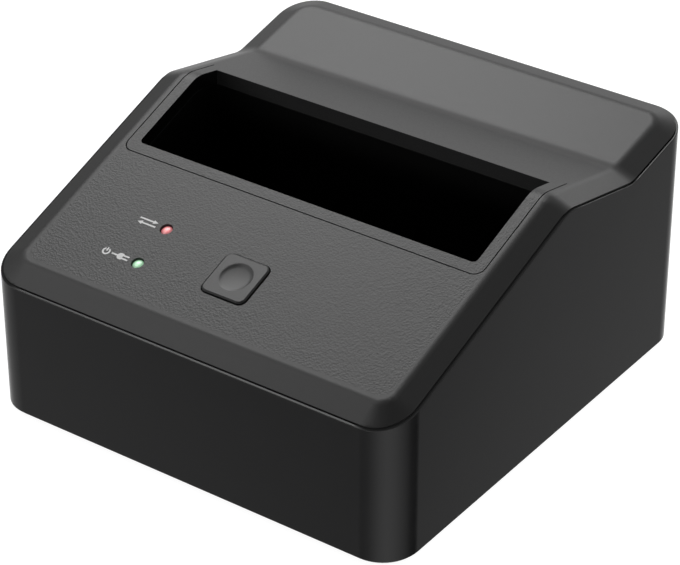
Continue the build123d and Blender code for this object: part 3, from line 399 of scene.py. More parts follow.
@dataclass(frozen=True)
class GrainedPanel:
    """Satin moulded plastic whose front slope, inside the bevel, has a leather grain."""

    name: str
    colour: Colour
    roughness: tuple[float, float]
    specular: float = 0.5
    wander: float = 0.07
    patch: float = 20.0 * MM
    speck: float = 0.5 * MM
    speck_height: float = 0.08
    cell: float = 0.62 * MM
    crease_share: float = 0.6
    crease_height: float = 0.8
    depth: float = 0.042 * MM
    mean_height: float = 0.85
    half_width: float = 56.7 * MM
    front: float = 7.4 * MM
    corner: float = 4.0 * MM
    crest: float = 79.0 * MM
    fade: float = 0.5 * MM
    crest_fade: float = 3.0 * MM
    slot_half: float = 53.4 * MM
    slot_reach: tuple[float, float] = (49.6 * MM, 84.4 * MM)
    slot_upright: float = 0.5
    # Share of the colour kept on the slot's upright walls: painted shade.
    slot_tone: float = 0.1
    slot_roughness: tuple[float, float] = (1.5, 0.6)
    slot_facing: tuple[float, float] = (-0.9, -0.1)

    def material(self) -> bpy.types.Material:
        """Build the material.

        Returns:
            The material, with painted shade that darkens the slot's walls, and rougher the less they face forward.
        """
        shader = Shader(self.name)
        broad = shader.noise(self.patch, detail=2.0)
        speck = shader.noise(self.speck, detail=2.0)
        tone = shader.mottle(broad, self.colour, self.wander)
        wall = self.slot_wall(shader)
        turned = shader.spread(shader.axes(shader.facing)["Y"], *self.slot_roughness, *self.slot_facing)
        matter = shader.spread(wall, 1.0, turned, 0.0, 1.0)
        shader.set(
            # Painted shade: the slot's upright walls get a darker base colour.
            Base_Color=shader.blend(wall, tone, shade(self.colour, self.slot_tone)),
            Roughness=shader.product(shader.spread(speck, *self.roughness), matter),
            Specular_IOR_Level=self.specular,
        )
        creases = shader.noise(self.cell * self.crease_share, detail=4.0)
        hide = shader.calculate("MULTIPLY_ADD", creases, self.crease_height, shader.cells(self.cell))
        leather = shader.calculate("SUBTRACT", hide, self.mean_height)
        masked = shader.product(leather, self.panel(shader))
        shader.bump(shader.calculate("MULTIPLY_ADD", speck, self.speck_height, masked), self.depth)
        return shader.material

    def slot_wall(self, shader: Shader) -> Socket:
        """Find the upright walls of the slot.

        Args:
            shader: The material's shader.

        Returns:
            A factor that is 1 on those walls and 0 elsewhere.
        """
        place = shader.axes(shader.place)
        up = shader.calculate("ABSOLUTE", shader.axes(shader.facing)["Z"])
        side = shader.calculate("ABSOLUTE", place["X"])
        front, rear = (CAD_BOX[0].y + reach for reach in self.slot_reach)
        upright = shader.calculate("LESS_THAN", up, self.slot_upright)
        within = shader.calculate("LESS_THAN", side, self.slot_half)
        behind = shader.calculate("GREATER_THAN", place["Y"], front)
        before = shader.calculate("LESS_THAN", place["Y"], rear)
        return shader.product(upright, within, behind, before)

    def panel(self, shader: Shader) -> Socket:
        """Find the front slope's panel, which has round front corners.

        Args:
            shader: The material's shader.

        Returns:
            A factor that is 1 on the panel and 0 elsewhere.
        """
        place = shader.axes(shader.place)
        front, crest = (CAD_BOX[0].y + reach for reach in (self.front, self.crest))
        side = shader.calculate("ABSOLUTE", place["X"])
        aside = shader.calculate("SUBTRACT", side, self.half_width - self.corner)
        ahead = shader.calculate("SUBTRACT", front + self.corner, place["Y"])
        offset = shader.add("ShaderNodeCombineXYZ", X=shader.calculate("MAXIMUM", 0.0, aside),
                            Y=shader.calculate("MAXIMUM", 0.0, ahead))
        reach = shader.measure("LENGTH", offset.outputs["Vector"])
        inside = shader.spread(reach, 1.0, 0.0, self.corner - self.fade, self.corner)
        before = shader.spread(place["Y"], 1.0, 0.0, crest - self.crest_fade, crest)
        return shader.product(inside, before)


@dataclass(frozen=True)
class Metal:
    """Plain or plated metal with faint rubbed patches."""

    name: str
    colour: Colour
    roughness: tuple[float, float]
    grain: float = 0.35 * MM
    depth: float = 0.002 * MM
    patch_grains: float = 6.0
    dulled: float = 0.82

    def material(self) -> bpy.types.Material:
        """Build the material.

        Returns:
            The material.
        """
        shader = Shader(self.name)
        patches = shader.noise(self.grain * self.patch_grains, detail=3.0)
        scratches = shader.noise(self.grain, detail=4.0, roughness=0.7)
        shader.set(
            Base_Color=shader.blend(patches, shade(self.colour, self.dulled), self.colour),
            Roughness=shader.spread(scratches, *self.roughness),
            Metallic=1.0,
        )
        shader.bump(scratches, self.depth)
        return shader.material


@dataclass(frozen=True)
class LampLens:
    """Clear tinted lens of a lamp that glows from within."""

    name: str
    colour: Colour
    middle: Colour
    glow: float = 0.35
    cloud: float = 0.7 * MM
    cloud_tone: float = 1.25
    roughness: tuple[float, float] = (0.08, 0.2)
    coat: float = 0.6
    coat_roughness: float = 0.08
    depth: float = 0.02 * MM
    rim_turn: float = math.radians(20)
    middle_turn: float = math.radians(5)

    def material(self) -> bpy.types.Material:
        """Build the material.

        Returns:
            The material, palest and brightest in the middle of the lens.
        """
        shader = Shader(self.name)
        cloud = shader.noise(self.cloud, detail=2.0)
        rim, middle = (math.cos(turn) for turn in (self.rim_turn, self.middle_turn))
        hot = shader.spread(shader.outward(), 0.0, 1.0, rim, middle)
        shader.set(
            Base_Color=shader.blend(cloud, self.colour, shade(self.colour, self.cloud_tone)),
            Roughness=shader.spread(cloud, *self.roughness),
            Emission_Color=shader.blend(hot, shade(self.colour, self.glow), self.middle),
            Emission_Strength=1.0,
            Coat_Weight=self.coat,
            Coat_Roughness=self.coat_roughness,
        )
        shader.bump(cloud, self.depth)
        return shader.material


@dataclass(frozen=True)
class LacqueredBoard:
    """Green lacquer over glass cloth and copper tracks."""

    name: str
    colour: Colour
    roughness: tuple[float, float] = (0.22, 0.38)
    coat: float = 0.4
    track_tone: float = 2.1
    track_gap: float = 0.16 * MM
    track_length: float = 6.1 * MM
    track_pitch: float = 1.3 * MM
    weave: float = 0.4 * MM
    weave_height: float = 0.3
    depth: float = 0.02 * MM

    def material(self) -> bpy.types.Material:
        """Build the material.

        Returns:
            The material.
        """
        shader = Shader(self.name)
        tracks = shader.add("ShaderNodeTexBrick", Vector=shader.place, Scale=1.0,
                            Mortar_Size=self.track_gap, Brick_Width=self.track_length,
                            Row_Height=self.track_pitch)
        weave = shader.noise(self.weave, detail=1.0)
        lines = tracks.outputs["Fac"]
        shader.set(
            Base_Color=shader.blend(lines, self.colour, shade(self.colour, self.track_tone)),
            Roughness=shader.spread(weave, *self.roughness),
            Coat_Weight=self.coat,
        )
        shader.bump(shader.calculate("MULTIPLY_ADD", weave, self.weave_height, lines), self.depth)
        return shader.material


class Finish(Enum):
    """Every finish of the docking station, under its slot in the record."""

    base_black = LedgedPlastic("base_black", (0.006, 0.006, 0.0062), (0.16, 0.22),
                               grain=1.5 * MM, depth=0.002 * MM)
    cover_grey = GrainedPanel("cover_grey", (0.013, 0.013, 0.013), (0.32, 0.38))
    well_black = MouldedPlastic("well_black", (0.001, 0.001, 0.001), (0.3, 0.38), specular=0.2)
    # The button's side walls get painted shade: a twentieth of its colour.
    button_grey = MouldedPlastic("button_grey", (0.012, 0.012, 0.012), (0.31, 0.37), specular=0.54,
                                 grain=0.3 * MM, depth=0.003 * MM, wall_tone=0.05)
    foot_rubber = MouldedPlastic("foot_rubber", (0.02, 0.02, 0.02), (0.75, 0.9), specular=0.3,
                                 grain=0.3 * MM, depth=0.02 * MM)
    connector_black = MouldedPlastic("connector_black", (0.012, 0.012, 0.012), (0.4, 0.55), specular=0.3)
    chip_black = MouldedPlastic("chip_black", (0.02, 0.02, 0.022), (0.5, 0.65), grain=0.2 * MM,
                                depth=0.008 * MM)
    port_blue = MouldedPlastic("port_blue", (0.02, 0.09, 0.4), (0.35, 0.45))
    ferrite = MouldedPlastic("ferrite", (0.06, 0.06, 0.065), (0.55, 0.75), grain=0.25 * MM,
                             depth=0.03 * MM, leathery=0.5)
    resistor_ceramic = MouldedPlastic("resistor_ceramic", (0.02, 0.02, 0.02), (0.25, 0.4),
                                      grain=0.2 * MM)
    ribbon_white = MouldedPlastic("ribbon_white", (0.62, 0.64, 0.67), (0.25, 0.35), wander=0.05)
    lamp_red = LampLens("lamp_red", (0.65, 0.2, 0.21), (0.7, 0.29, 0.29))
    lamp_green = LampLens("lamp_green", (0.36, 0.63, 0.41), (0.4, 0.6, 0.43))
    sign_white = MouldedPlastic("sign_white", (0.75, 0.75, 0.75), (0.45, 0.6), wander=0.04)
    steel = Metal("steel", (0.55, 0.55, 0.56), (0.25, 0.4))
    tinned_wire = Metal("tinned_wire", (0.72, 0.71, 0.68), (0.2, 0.35))
    contact_gold = Metal("contact_gold", (0.8, 0.58, 0.24), (0.18, 0.3))
    port_steel = Metal("port_steel", (0.6, 0.6, 0.6), (0.2, 0.35))
    can_aluminium = Metal("can_aluminium", (0.75, 0.75, 0.76), (0.3, 0.45))
    board_green = LacqueredBoard("board_green", (0.01, 0.11, 0.045))

    def material(self) -> bpy.types.Material:
        """The finish's material, built on first use."""
        known = bpy.data.materials.get(self.value.name + SURFACE)
        return known or self.value.material()


def dress(piece: bpy.types.Object, finish: Finish) -> None:
    """Give a whole object one finish.

    Args:
        piece: The object.
        finish: The finish that all its faces get.
    """
    piece.data.materials.clear()
    piece.data.materials.append(finish.material())
    for face in getattr(piece.data, "polygons", []):
        face.material_index = 0


# Meshes

def link(name: str, mesh: bpy.types.Mesh) -> bpy.types.Object:
    """Make an object of a mesh and add it to the scene.

    Args:
        name: Name of the object.
        mesh: Its mesh.

    Returns:
        The object.
    """
    piece = bpy.data.objects.new(name, mesh)
    bpy.context.scene.collection.objects.link(piece)
    return piece


def settle(piece: bpy.types.Object) -> bpy.types.Object:
    """Apply every modifier of an object.

    Args:
        piece: The object.

    Returns:
        The same object, with a plain mesh.
    """
    graph = bpy.context.evaluated_depsgraph_get()
    mesh = bpy.data.meshes.new_from_object(piece.evaluated_get(graph), depsgraph=graph)
    piece.modifiers.clear()
    piece.data = mesh
    return piece


def register(piece: bpy.types.Object, body: str, slot: Finish, *nodes: str) -> bpy.types.Object:
    """Dress a finished piece, hang it on its body and hide the CAD nodes that it stands for.

    Args:
        piece: The finished piece, in its place.
        body: The CAD body that it moves with.
        slot: The finish that it wears.
        nodes: CAD nodes that it stands for.

    Returns:
        The same piece.
    """
    dress(piece, slot)
    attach(piece, body)
    if nodes:
        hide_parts(*nodes)
    LOG.info("%s: %d faces on %s", piece.name, len(piece.data.polygons), body)
    return piece


@dataclass
class Skin:
    """Finished copy of one CAD piece, with softened edges and smooth curves."""

    node: str
    finish: Finish
    body: str = "case"
    edge: float = 0.12 * MM
    edge_steps: int = 2
    hard_from: float = math.radians(50)
    flat_within: float = math.radians(0.4)
    face_weight: int = 80

    def build(self) -> bpy.types.Object:
        """Build the piece and put it in the place of its CAD node.

        Returns:
            The piece.
        """
        shape = bmesh.new()
        shape.from_mesh(frame["nodes"][self.node].data)
        bmesh.ops.remove_doubles(shape, verts=shape.verts, dist=WELD)
        bmesh.ops.dissolve_limit(shape, angle_limit=self.flat_within, verts=shape.verts,
                                 edges=shape.edges)
        for face in shape.faces:
            face.smooth = True
        for edge in shape.edges:
            edge.smooth = not self.creased(edge)
        mesh = bpy.data.meshes.new(self.node + "_skin")
        shape.to_mesh(mesh)
        shape.free()
        piece = link(self.node + "_skin", mesh)
        if self.edge:
            soften = piece.modifiers.new("soften", "BEVEL")
            soften.width = self.edge
            soften.segments = self.edge_steps
            soften.limit_method = "ANGLE"
            soften.angle_limit = self.hard_from
            soften.use_clamp_overlap = True
        even = piece.modifiers.new("even", "WEIGHTED_NORMAL")
        even.keep_sharp = True
        even.weight = self.face_weight
        return register(settle(piece), self.body, self.finish, self.node)

    def creased(self, edge: bmesh.types.BMEdge) -> bool:
        """Whether the surface breaks at an edge instead of curving over it."""
        return False


# Geometry trees

class Tree:
    """Adds and links the nodes of one geometry tree."""

    def __init__(self, name: str) -> None:
        """Start a tree that takes a geometry and gives one back.

        Args:
            name: Name of the tree.
        """
        self.tree = bpy.data.node_groups.new(name, "GeometryNodeTree")
        self.tree.interface.new_socket("Geometry", in_out="INPUT", socket_type="NodeSocketGeometry")
        self.tree.interface.new_socket("Geometry", in_out="OUTPUT", socket_type="NodeSocketGeometry")
        self.source = self.tree.nodes.new("NodeGroupInput")
        self.result = self.tree.nodes.new("NodeGroupOutput")
        self.values: dict[str, float | int] = {}

    def size(self, name: str, value: float | int) -> Socket:
        """Add a named input.

        Args:
            name: Name of the input.
            value: Its value in metres, or a whole number.

        Returns:
            The socket that gives the value inside the tree.
        """
        kind = "NodeSocketInt" if isinstance(value, int) else "NodeSocketFloat"
        self.tree.interface.new_socket(name, in_out="INPUT", socket_type=kind)
        self.values[name] = value
        return self.source.outputs[name]

    def add(self, kind: str, settings: dict[str, Any] | None = None, **inputs: Any) -> bpy.types.Node:
        """Add a node.

        Args:
            kind: Blender's name of the node type.
            settings: Properties of the node.
            inputs: Values or sockets for its inputs, with underscores for spaces.

        Returns:
            The new node.
        """
        node = self.tree.nodes.new(kind)
        for name, value in (settings or {}).items():
            setattr(node, name, value)
        for name, value in inputs.items():
            socket = node.inputs[name.replace("_", " ")]
            if isinstance(value, bpy.types.NodeSocket):
                self.tree.links.new(value, socket)
            else:
                socket.default_value = value
        return node

    def run(self, seeds: bpy.types.Mesh, name: str, finish: Finish, shape: Socket) -> bpy.types.Object:
        """Run the tree on a mesh and keep its result as a plain object.

        Args:
            seeds: Mesh that the tree starts from.
            name: Name of the new object.
            finish: Finish of the result.
            shape: The geometry that the tree gives.

        Returns:
            The plain object.
        """
        real = self.add("GeometryNodeRealizeInstances", Geometry=shape).outputs["Geometry"]
        coloured = self.add("GeometryNodeSetMaterial", Geometry=real, Material=finish.material())
        self.tree.links.new(coloured.outputs["Geometry"], self.result.inputs["Geometry"])
        piece = link(name, seeds)
        modifier = piece.modifiers.new(name, "NODES")
        modifier.node_group = self.tree
        for item in self.tree.interface.items_tree:
            if item.item_type == "SOCKET" and item.name in self.values:
                modifier[item.identifier] = self.values[item.name]
        return settle(piece)


def islands(node: str) -> list[list[Vector]]:
    """Part a CAD node into its separate solids.

    Args:
        node: The CAD node.

    Returns:
        The corners of every solid.
    """
    shape = bmesh.new()
    shape.from_mesh(frame["nodes"][node].data)
    bmesh.ops.remove_doubles(shape, verts=shape.verts, dist=WELD)
    left = set(shape.verts)
    found = []
    while left:
        front = [left.pop()]
        solid = []
        while front:
            corner = front.pop()
            solid.append(corner.co.copy())
            near = {edge.other_vert(corner) for edge in corner.link_edges} & left
            left -= near
            front.extend(near)
        found.append(solid)
    shape.free()
    return found


def stance(solid: list[Vector], axis: Vector, across: Vector) -> Matrix:
    """Frame that stands at one end of a solid.

    Args:
        solid: The solid's corners.
        axis: Direction from that end to the other, the frame's Z.
        across: A direction at right angles to it, the frame's X.

    Returns:
        A matrix with its origin at the middle of that end.
    """
    third = axis.cross(across)
    spans = []
    for direction in (across, third, axis):
        reach = [corner.dot(direction) for corner in solid]
        spans.append((min(reach), max(reach)))
    middle = Vector()
    for direction, (low, high) in zip((across, third), spans):
        middle += direction * (low + high) / 2
    turned = Matrix((across, third, axis)).transposed().to_4x4()
    return Matrix.Translation(middle + axis * spans[2][0]) @ turned


@dataclass
class Pattern:
    """One small piece that repeats: a line that becomes a solid, and the places of its copies."""

    name: str
    line: tuple[tuple[float, float, float], ...]
    places: list[Matrix]
    finish: Finish
    rounding: float = 0.0
    rounding_steps: int = 4

    def seeds(self) -> bpy.types.Mesh:
        """Mesh that the tree starts from.

        Returns:
            A mesh with the line, and one loose point that holds its turn for every place.
        """
        mesh = bpy.data.meshes.new(self.name)
        points = list(self.line) + [tuple(place.translation) for place in self.places]
        edges = [(index, index + 1) for index in range(len(self.line) - 1)]
        mesh.from_pydata(points, edges, [])
        mesh.attributes.new("is_place", "BOOLEAN", "POINT")
        mesh.attributes.new("turn", "FLOAT_VECTOR", "POINT")
        for index, matrix in enumerate(self.places, start=len(self.line)):
            mesh.attributes["is_place"].data[index].value = True
            mesh.attributes["turn"].data[index].vector = matrix.to_euler()
        mesh.update()
        return mesh

    def solid(self, tree: Tree, line: Socket) -> Socket:
        """The solid that the line becomes."""
        raise NotImplementedError

    def build(self) -> bpy.types.Object:
        """Build all copies.

        Returns:
            One plain object.
        """
        tree = Tree(self.name)
        chosen = tree.add("GeometryNodeInputNamedAttribute", {"data_type": "BOOLEAN"}, Name="is_place")
        turned = tree.add("GeometryNodeInputNamedAttribute", {"data_type": "FLOAT_VECTOR"}, Name="turn")
        parted = tree.add("GeometryNodeSeparateGeometry", Geometry=tree.source.outputs["Geometry"],
                          Selection=chosen.outputs["Attribute"])
        line = tree.add("GeometryNodeMeshToCurve", Mesh=parted.outputs["Inverted"]).outputs["Curve"]
        if self.rounding:
            rounded = tree.add("GeometryNodeFilletCurve", {"mode": "POLY"}, Curve=line,
                               Count=self.rounding_steps, Radius=tree.size("Rounding", self.rounding))
            line = rounded.outputs["Curve"]
        copies = tree.add("GeometryNodeInstanceOnPoints", Points=parted.outputs["Selection"],
                          Instance=self.solid(tree, line), Rotation=turned.outputs["Attribute"])
        return tree.run(self.seeds(), self.name, self.finish, copies.outputs["Instances"])


@dataclass
class Turned(Pattern):
    """Pattern of pieces turned on a lathe, from a line of radius and height, top first."""

    sides: int = 40
    axis_radius: float = 0.0001 * MM
    recess: float = 0.0
    recess_depth: float = 0.0
    recess_reach: float = 4.0

    def __post_init__(self) -> None:
        """Lay the line so that the sweep turns it about Z."""
        self.line = tuple((radius, -height, 0.0) for radius, height in self.line)

    def solid(self, tree: Tree, line: Socket) -> Socket:
        """Turn the line about Z, and cut a cross recess into its lower end where it has one.

        Args:
            tree: The tree.
            line: The line as a curve.

        Returns:
            The closed solid.
        """
        path = tree.add("GeometryNodeCurvePrimitiveCircle", Resolution=tree.size("Sides", self.sides),
                        Radius=self.axis_radius)
        body = tree.add("GeometryNodeCurveToMesh", Curve=path.outputs["Curve"], Profile_Curve=line)
        closed = tree.add("GeometryNodeMergeByDistance", Geometry=body.outputs["Mesh"],
                          Distance=WELD).outputs["Geometry"]
        if not self.recess:
            return closed
        width = tree.size("Recess Width", self.recess)
        reach = tree.size("Recess Reach", self.recess * self.recess_reach)
        # Half of the block is outside the end that it is centred on.
        tall = tree.size("Recess Block", self.recess_depth * 2)
        cut = tree.add("GeometryNodeMeshBoolean", {"operation": "DIFFERENCE", "solver": "EXACT"})
        tree.tree.links.new(closed, cut.inputs["Mesh 1"])
        for x, y in ((width, reach), (reach, width)):
            block = tree.add("ShaderNodeCombineXYZ", X=x, Y=y, Z=tall)
            cube = tree.add("GeometryNodeMeshCube", Size=block.outputs["Vector"])
            tree.tree.links.new(cube.outputs["Mesh"], cut.inputs["Mesh 2"])
        return cut.outputs["Mesh"]


@dataclass
class Strip(Pattern):
    """Pattern of bent metal strips, each swept along its line."""

    width: float = 0.5 * MM
    thickness: float = 0.2 * MM
    across: tuple[float, float, float] = (1.0, 0.0, 0.0)

    def solid(self, tree: Tree, line: Socket) -> Socket:
        """Sweep a rectangle along the line.

        Args:
            tree: The tree.
            line: The line as a curve.

        Returns:
            The closed solid.
        """
        held = tree.add("GeometryNodeSetCurveNormal", {"mode": "FREE"}, Curve=line, Normal=self.across)
        section = tree.add("GeometryNodeCurvePrimitiveQuadrilateral",
                           Width=tree.size("Width", self.width),
                           Height=tree.size("Thickness", self.thickness))
        body = tree.add("GeometryNodeCurveToMesh", Curve=held.outputs["Curve"],
                        Profile_Curve=section.outputs["Curve"], Fill_Caps=True)
        return body.outputs["Mesh"]


# Studio

@dataclass(frozen=True)
class Softbox:
    """Square area light that looks at the object."""

    name: str
    towards: tuple[float, float, float]
    distance: float
    size: float
    power: float

    def build(self, target: Vector) -> None:
        """Hang the light in its place.

        Args:
            target: The point that it is turned to.
        """
        lamp = bpy.data.lights.new(self.name, "AREA")
        lamp.shape = "SQUARE"
        lamp.size = self.size
        lamp.energy = self.power
        holder = bpy.data.objects.new(self.name, lamp)
        bpy.context.scene.collection.objects.link(holder)
        direction = Vector(self.towards).normalized()
        holder.location = target + direction * self.distance
        holder.rotation_euler = direction.to_track_quat("Z", "Y").to_euler()


@dataclass
class Studio:
    """Pale floor, soft lights and the camera at the photograph's angle.

    The skies hold a brightness for each height, from 0 at the horizon to 1 overhead. The sides and
    the ground hold one for each bearing in degrees, from -180 at the left round by the front.
    """

    floor_size: float = 8.0
    floor_glow: float = 0.95
    floor_grey: float = 0.3
    eye: tuple[float, float, float] = (0.36697, -0.50969, 0.41129)
    right: tuple[float, float, float] = (0.81085, 0.58527, 0.0)
    back: tuple[float, float, float] = (0.49923, -0.69165, 0.52193)
    roll: float = math.radians(-0.072)
    focal_pixels: float = 2790.25
    picture_width: float = 680.0
    sensor: float = 36.0
    clip: tuple[float, float] = (0.05, 30.0)
    target: tuple[float, float, float] = (0.0, 0.0, 0.04)
    horizon_blur: float = 0.03
    back_sky: Stops = (
        (0.0, 0.85), (0.15, 0.8), (0.3, 0.74), (0.45, 0.9), (0.6, 0.75), (0.82, 0.32), (0.93, 0.26),
        (1.0, 0.15),
    )
    back_sides: Stops = (
        (-180, 0.45), (-160, 0.3), (-135, 0.0), (-50, 0.0), (-10, 0.8), (10, 1.0), (136, 1.0),
        (152, 0.38), (180, 0.4),
    )
    front_sky: Stops = ((0.0, 3.6), (0.12, 3.6), (0.22, 0.1), (1.0, 0.04))
    front_sides: Stops = ((-180, 0.0), (-160, 0.0), (-140, 1.0), (-60, 1.0), (-20, 0.0), (180, 0.0))
    ground: Stops = (
        (-180, 0.45), (-136, 0.345), (-125, 0.2), (-112, 0.175), (-100, 0.22), (-85, 0.37), (-65, 0.64),
        (-45, 0.78), (-25, 0.67), (-4, 0.44), (16, 0.2), (26, 0.08), (45, 0.02), (56, 0.18), (60, 0.27),
        (64, 0.32), (80, 0.42), (105, 0.8), (150, 0.7), (180, 0.45),
    )
    lights: tuple[Softbox, ...] = (
        Softbox("key", (-0.505, 0.34, 0.793), 1.4, 0.8, 7.15),
        Softbox("side", (-0.527, -0.369, 0.766), 1.4, 0.6, 1.85),
        Softbox("back", (-0.115, 0.933, 0.342), 1.4, 0.6, 0.7),
        Softbox("fill", (-0.776, -0.137, 0.616), 1.4, 0.6, 0.55),
    )

    def build(self) -> None:
        """Build the whole studio."""
        self.floor()
        self.sky()
        for light in self.lights:
            light.build(Vector(self.target))
        self.camera()
        bpy.context.scene.view_settings.view_transform = "Standard"

    def floor(self) -> None:
        """Plain pale floor. Gloss looks past it at the ground's own tones."""
        half = self.floor_size / 2
        mesh = bpy.data.meshes.new("floor")
        corners = [(-half, -half, 0.0), (half, -half, 0.0), (half, half, 0.0), (-half, half, 0.0)]
        mesh.from_pydata(corners, [], [(0, 1, 2, 3)])
        floor = link("floor", mesh)
        floor.visible_glossy = False
        shader = Shader("floor_paper")
        shader.set(Base_Color=(self.floor_grey,) * 3, Roughness=1.0, Specular_IOR_Level=0.0,
                   Emission_Color=(1.0, 1.0, 1.0), Emission_Strength=self.floor_glow)
        mesh.materials.append(shader.material)

    def sky(self) -> None:
        """Surroundings: two skies by height and bearing, over a ground by bearing."""
        world = bpy.data.worlds.new("studio_room")
        bpy.context.scene.world = world
        world.use_nodes = True
        room = ShaderTree(world.node_tree)
        axes = room.axes(room.add("ShaderNodeTexCoord").outputs["Generated"])
        bearing = room.calculate("ARCTAN2", axes["Y"], axes["X"])
        turn = room.spread(bearing, 0.0, 1.0, -math.pi, math.pi)
        skies = []
        for heights, sides in ((self.back_sky, self.back_sides), (self.front_sky, self.front_sides)):
            skies.append(room.product(self.tones(room, axes["Z"], heights),
                                      self.around(room, turn, sides)))
        above = room.calculate("ADD", *skies)
        over = room.spread(axes["Z"], 0.0, 1.0, -self.horizon_blur, self.horizon_blur)
        grey = room.blend(over, self.around(room, turn, self.ground), above)
        light = room.add("ShaderNodeBackground", Color=grey)
        output = room.add("ShaderNodeOutputWorld")
        room.tree.links.new(light.outputs["Background"], output.inputs["Surface"])

    def around(self, room: ShaderTree, turn: Socket, stops: Stops) -> Socket:
        """Brightness round the horizon, from stops at bearings in degrees."""
        return self.tones(room, turn, tuple((0.5 + degrees / 360, tone) for degrees, tone in stops))

    def tones(self, room: ShaderTree, factor: Socket, stops: Stops) -> Socket:
        """Brightness along a row of stops.

        Args:
            room: The tree of the surroundings.
            factor: Place along the row, from 0 to 1.
            stops: Every stop's place and brightness.

        Returns:
            The brightness at the factor.
        """
        ramp = room.add("ShaderNodeValToRGB", Fac=factor)
        elements = ramp.color_ramp.elements
        while len(elements) < len(stops):
            elements.new(0.5)
        for element, (place, tone) in zip(elements, stops):
            element.position = place
            element.color = (tone, tone, tone, 1.0)
        return ramp.outputs["Color"]

    def camera(self) -> None:
        """Camera fitted to the photograph."""
        lens = bpy.data.cameras.new("camera")
        lens.sensor_width = self.sensor
        lens.sensor_fit = "HORIZONTAL"
        lens.lens = self.focal_pixels * self.sensor / self.picture_width
        lens.clip_start, lens.clip_end = self.clip
        holder = bpy.data.objects.new("camera", lens)
        bpy.context.scene.collection.objects.link(holder)
        back = Vector(self.back).normalized()
        right = Vector(self.right).normalized()
        up = back.cross(right)
        turned = Matrix((right, up, back)).transposed().to_4x4() @ Matrix.Rotation(self.roll, 4, "Z")
        holder.matrix_world = Matrix.Translation(Vector(self.eye)) @ turned
        bpy.context.scene.camera = holder


# Sub-assemblies

@dataclass
class CaseMouldings:
    """The base, the cover, the rim of the slot and the well."""

    skins: tuple[Skin, ...] = (
        Skin("base_shell", Finish.base_black, edge=0.15 * MM),
        Skin("top_cover", Finish.cover_grey, edge=0.08 * MM),
        Skin("slot_bezel", Finish.cover_grey, edge=0.04 * MM),
        Skin("drive_well", Finish.well_black),
    )

    def build(self) -> None:
        """Build the mouldings."""
        for skin in self.skins:
            skin.build()


@dataclass
class ButtonSkin(Skin):
    """Cap of the button: its bevelled edge is crisp, and its dish is smooth."""

    dish_reach: float = 5.6 * MM
    crease_from: float = math.radians(20)

    def creased(self, edge: bmesh.types.BMEdge) -> bool:
        """Whether the edge is a sharp one outside the dish.

        Args:
            edge: The edge.

        Returns:
            Whether the surface breaks there.
        """
        low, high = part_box(self.node)
        middle = (edge.verts[0].co + edge.verts[1].co) / 2 - (low + high) / 2
        out = FrontSlope().normal()
        reach = (middle - out * middle.dot(out)).length
        return reach > self.dish_reach and edge.calc_face_angle(0.0) > self.crease_from


@dataclass
class PowerButton:
    """The dished push button."""

    edge: float = 0.05 * MM

    def build(self) -> None:
        """Build the cap."""
        ButtonSkin("power_button", Finish.button_grey, body="button", edge=self.edge).build()


class Print:
    """Flat white print on the front slope, drawn as thin plates."""

    weld: float = 0.0001 * MM

    def __init__(self, place: Matrix, thickness: float) -> None:
        """Start an empty print.

        Args:
            place: Frame of the print on the surface.
            thickness: Thickness of the ink.
        """
        self.shape = bmesh.new()
        self.place = place
        self.thickness = thickness

    def plate(self, outline: list[tuple[float, float]]) -> None:
        """Add a plate.

        Args:
            outline: Its corners, run round against the clock.
        """
        low = [self.shape.verts.new(self.place @ Vector((x, y, 0.0))) for x, y in outline]
        high = [self.shape.verts.new(self.place @ Vector((x, y, self.thickness))) for x, y in outline]
        self.shape.faces.new(high)
        self.shape.faces.new(low[::-1])
        count = len(outline)
        for index in range(count):
            after = (index + 1) % count
            self.shape.faces.new((low[index], low[after], high[after], high[index]))

    def bar(self, across: tuple[float, float], up: tuple[float, float]) -> None:
        """Add an upright rectangle between two places across and two up."""
        (left, right), (low, high) = across, up
        self.plate([(left, low), (right, low), (right, high), (left, high)])

    def arc(self, centre: tuple[float, float], radius: float, width: float,
            start: float, end: float, steps: int = 40) -> None:
        """Add a ring or a part of one.

        Args:
            centre: Its centre.
            radius: Radius of its middle line.
            width: Width of its stroke.
            start: Angle at which it starts, in radians.
            end: Angle at which it ends, in radians.
            steps: Number of straight pieces.
        """
        turns = [start + (end - start) * index / steps for index in range(steps + 1)]
        inner, outer = radius - width / 2, radius + width / 2
        for first, second in zip(turns, turns[1:]):
            corners = [(inner, first), (outer, first), (outer, second), (inner, second)]
            self.plate([(centre[0] + reach * math.cos(turn), centre[1] + reach * math.sin(turn))
                        for reach, turn in corners])

    def object(self, name: str) -> bpy.types.Object:
        """Finish the print.

        Args:
            name: Name of the object.

        Returns:
            The print as an object.
        """
        mesh = bpy.data.meshes.new(name)
        bmesh.ops.remove_doubles(self.shape, verts=self.shape.verts, dist=self.weld)
        self.shape.to_mesh(mesh)
        self.shape.free()
        return link(name, mesh)


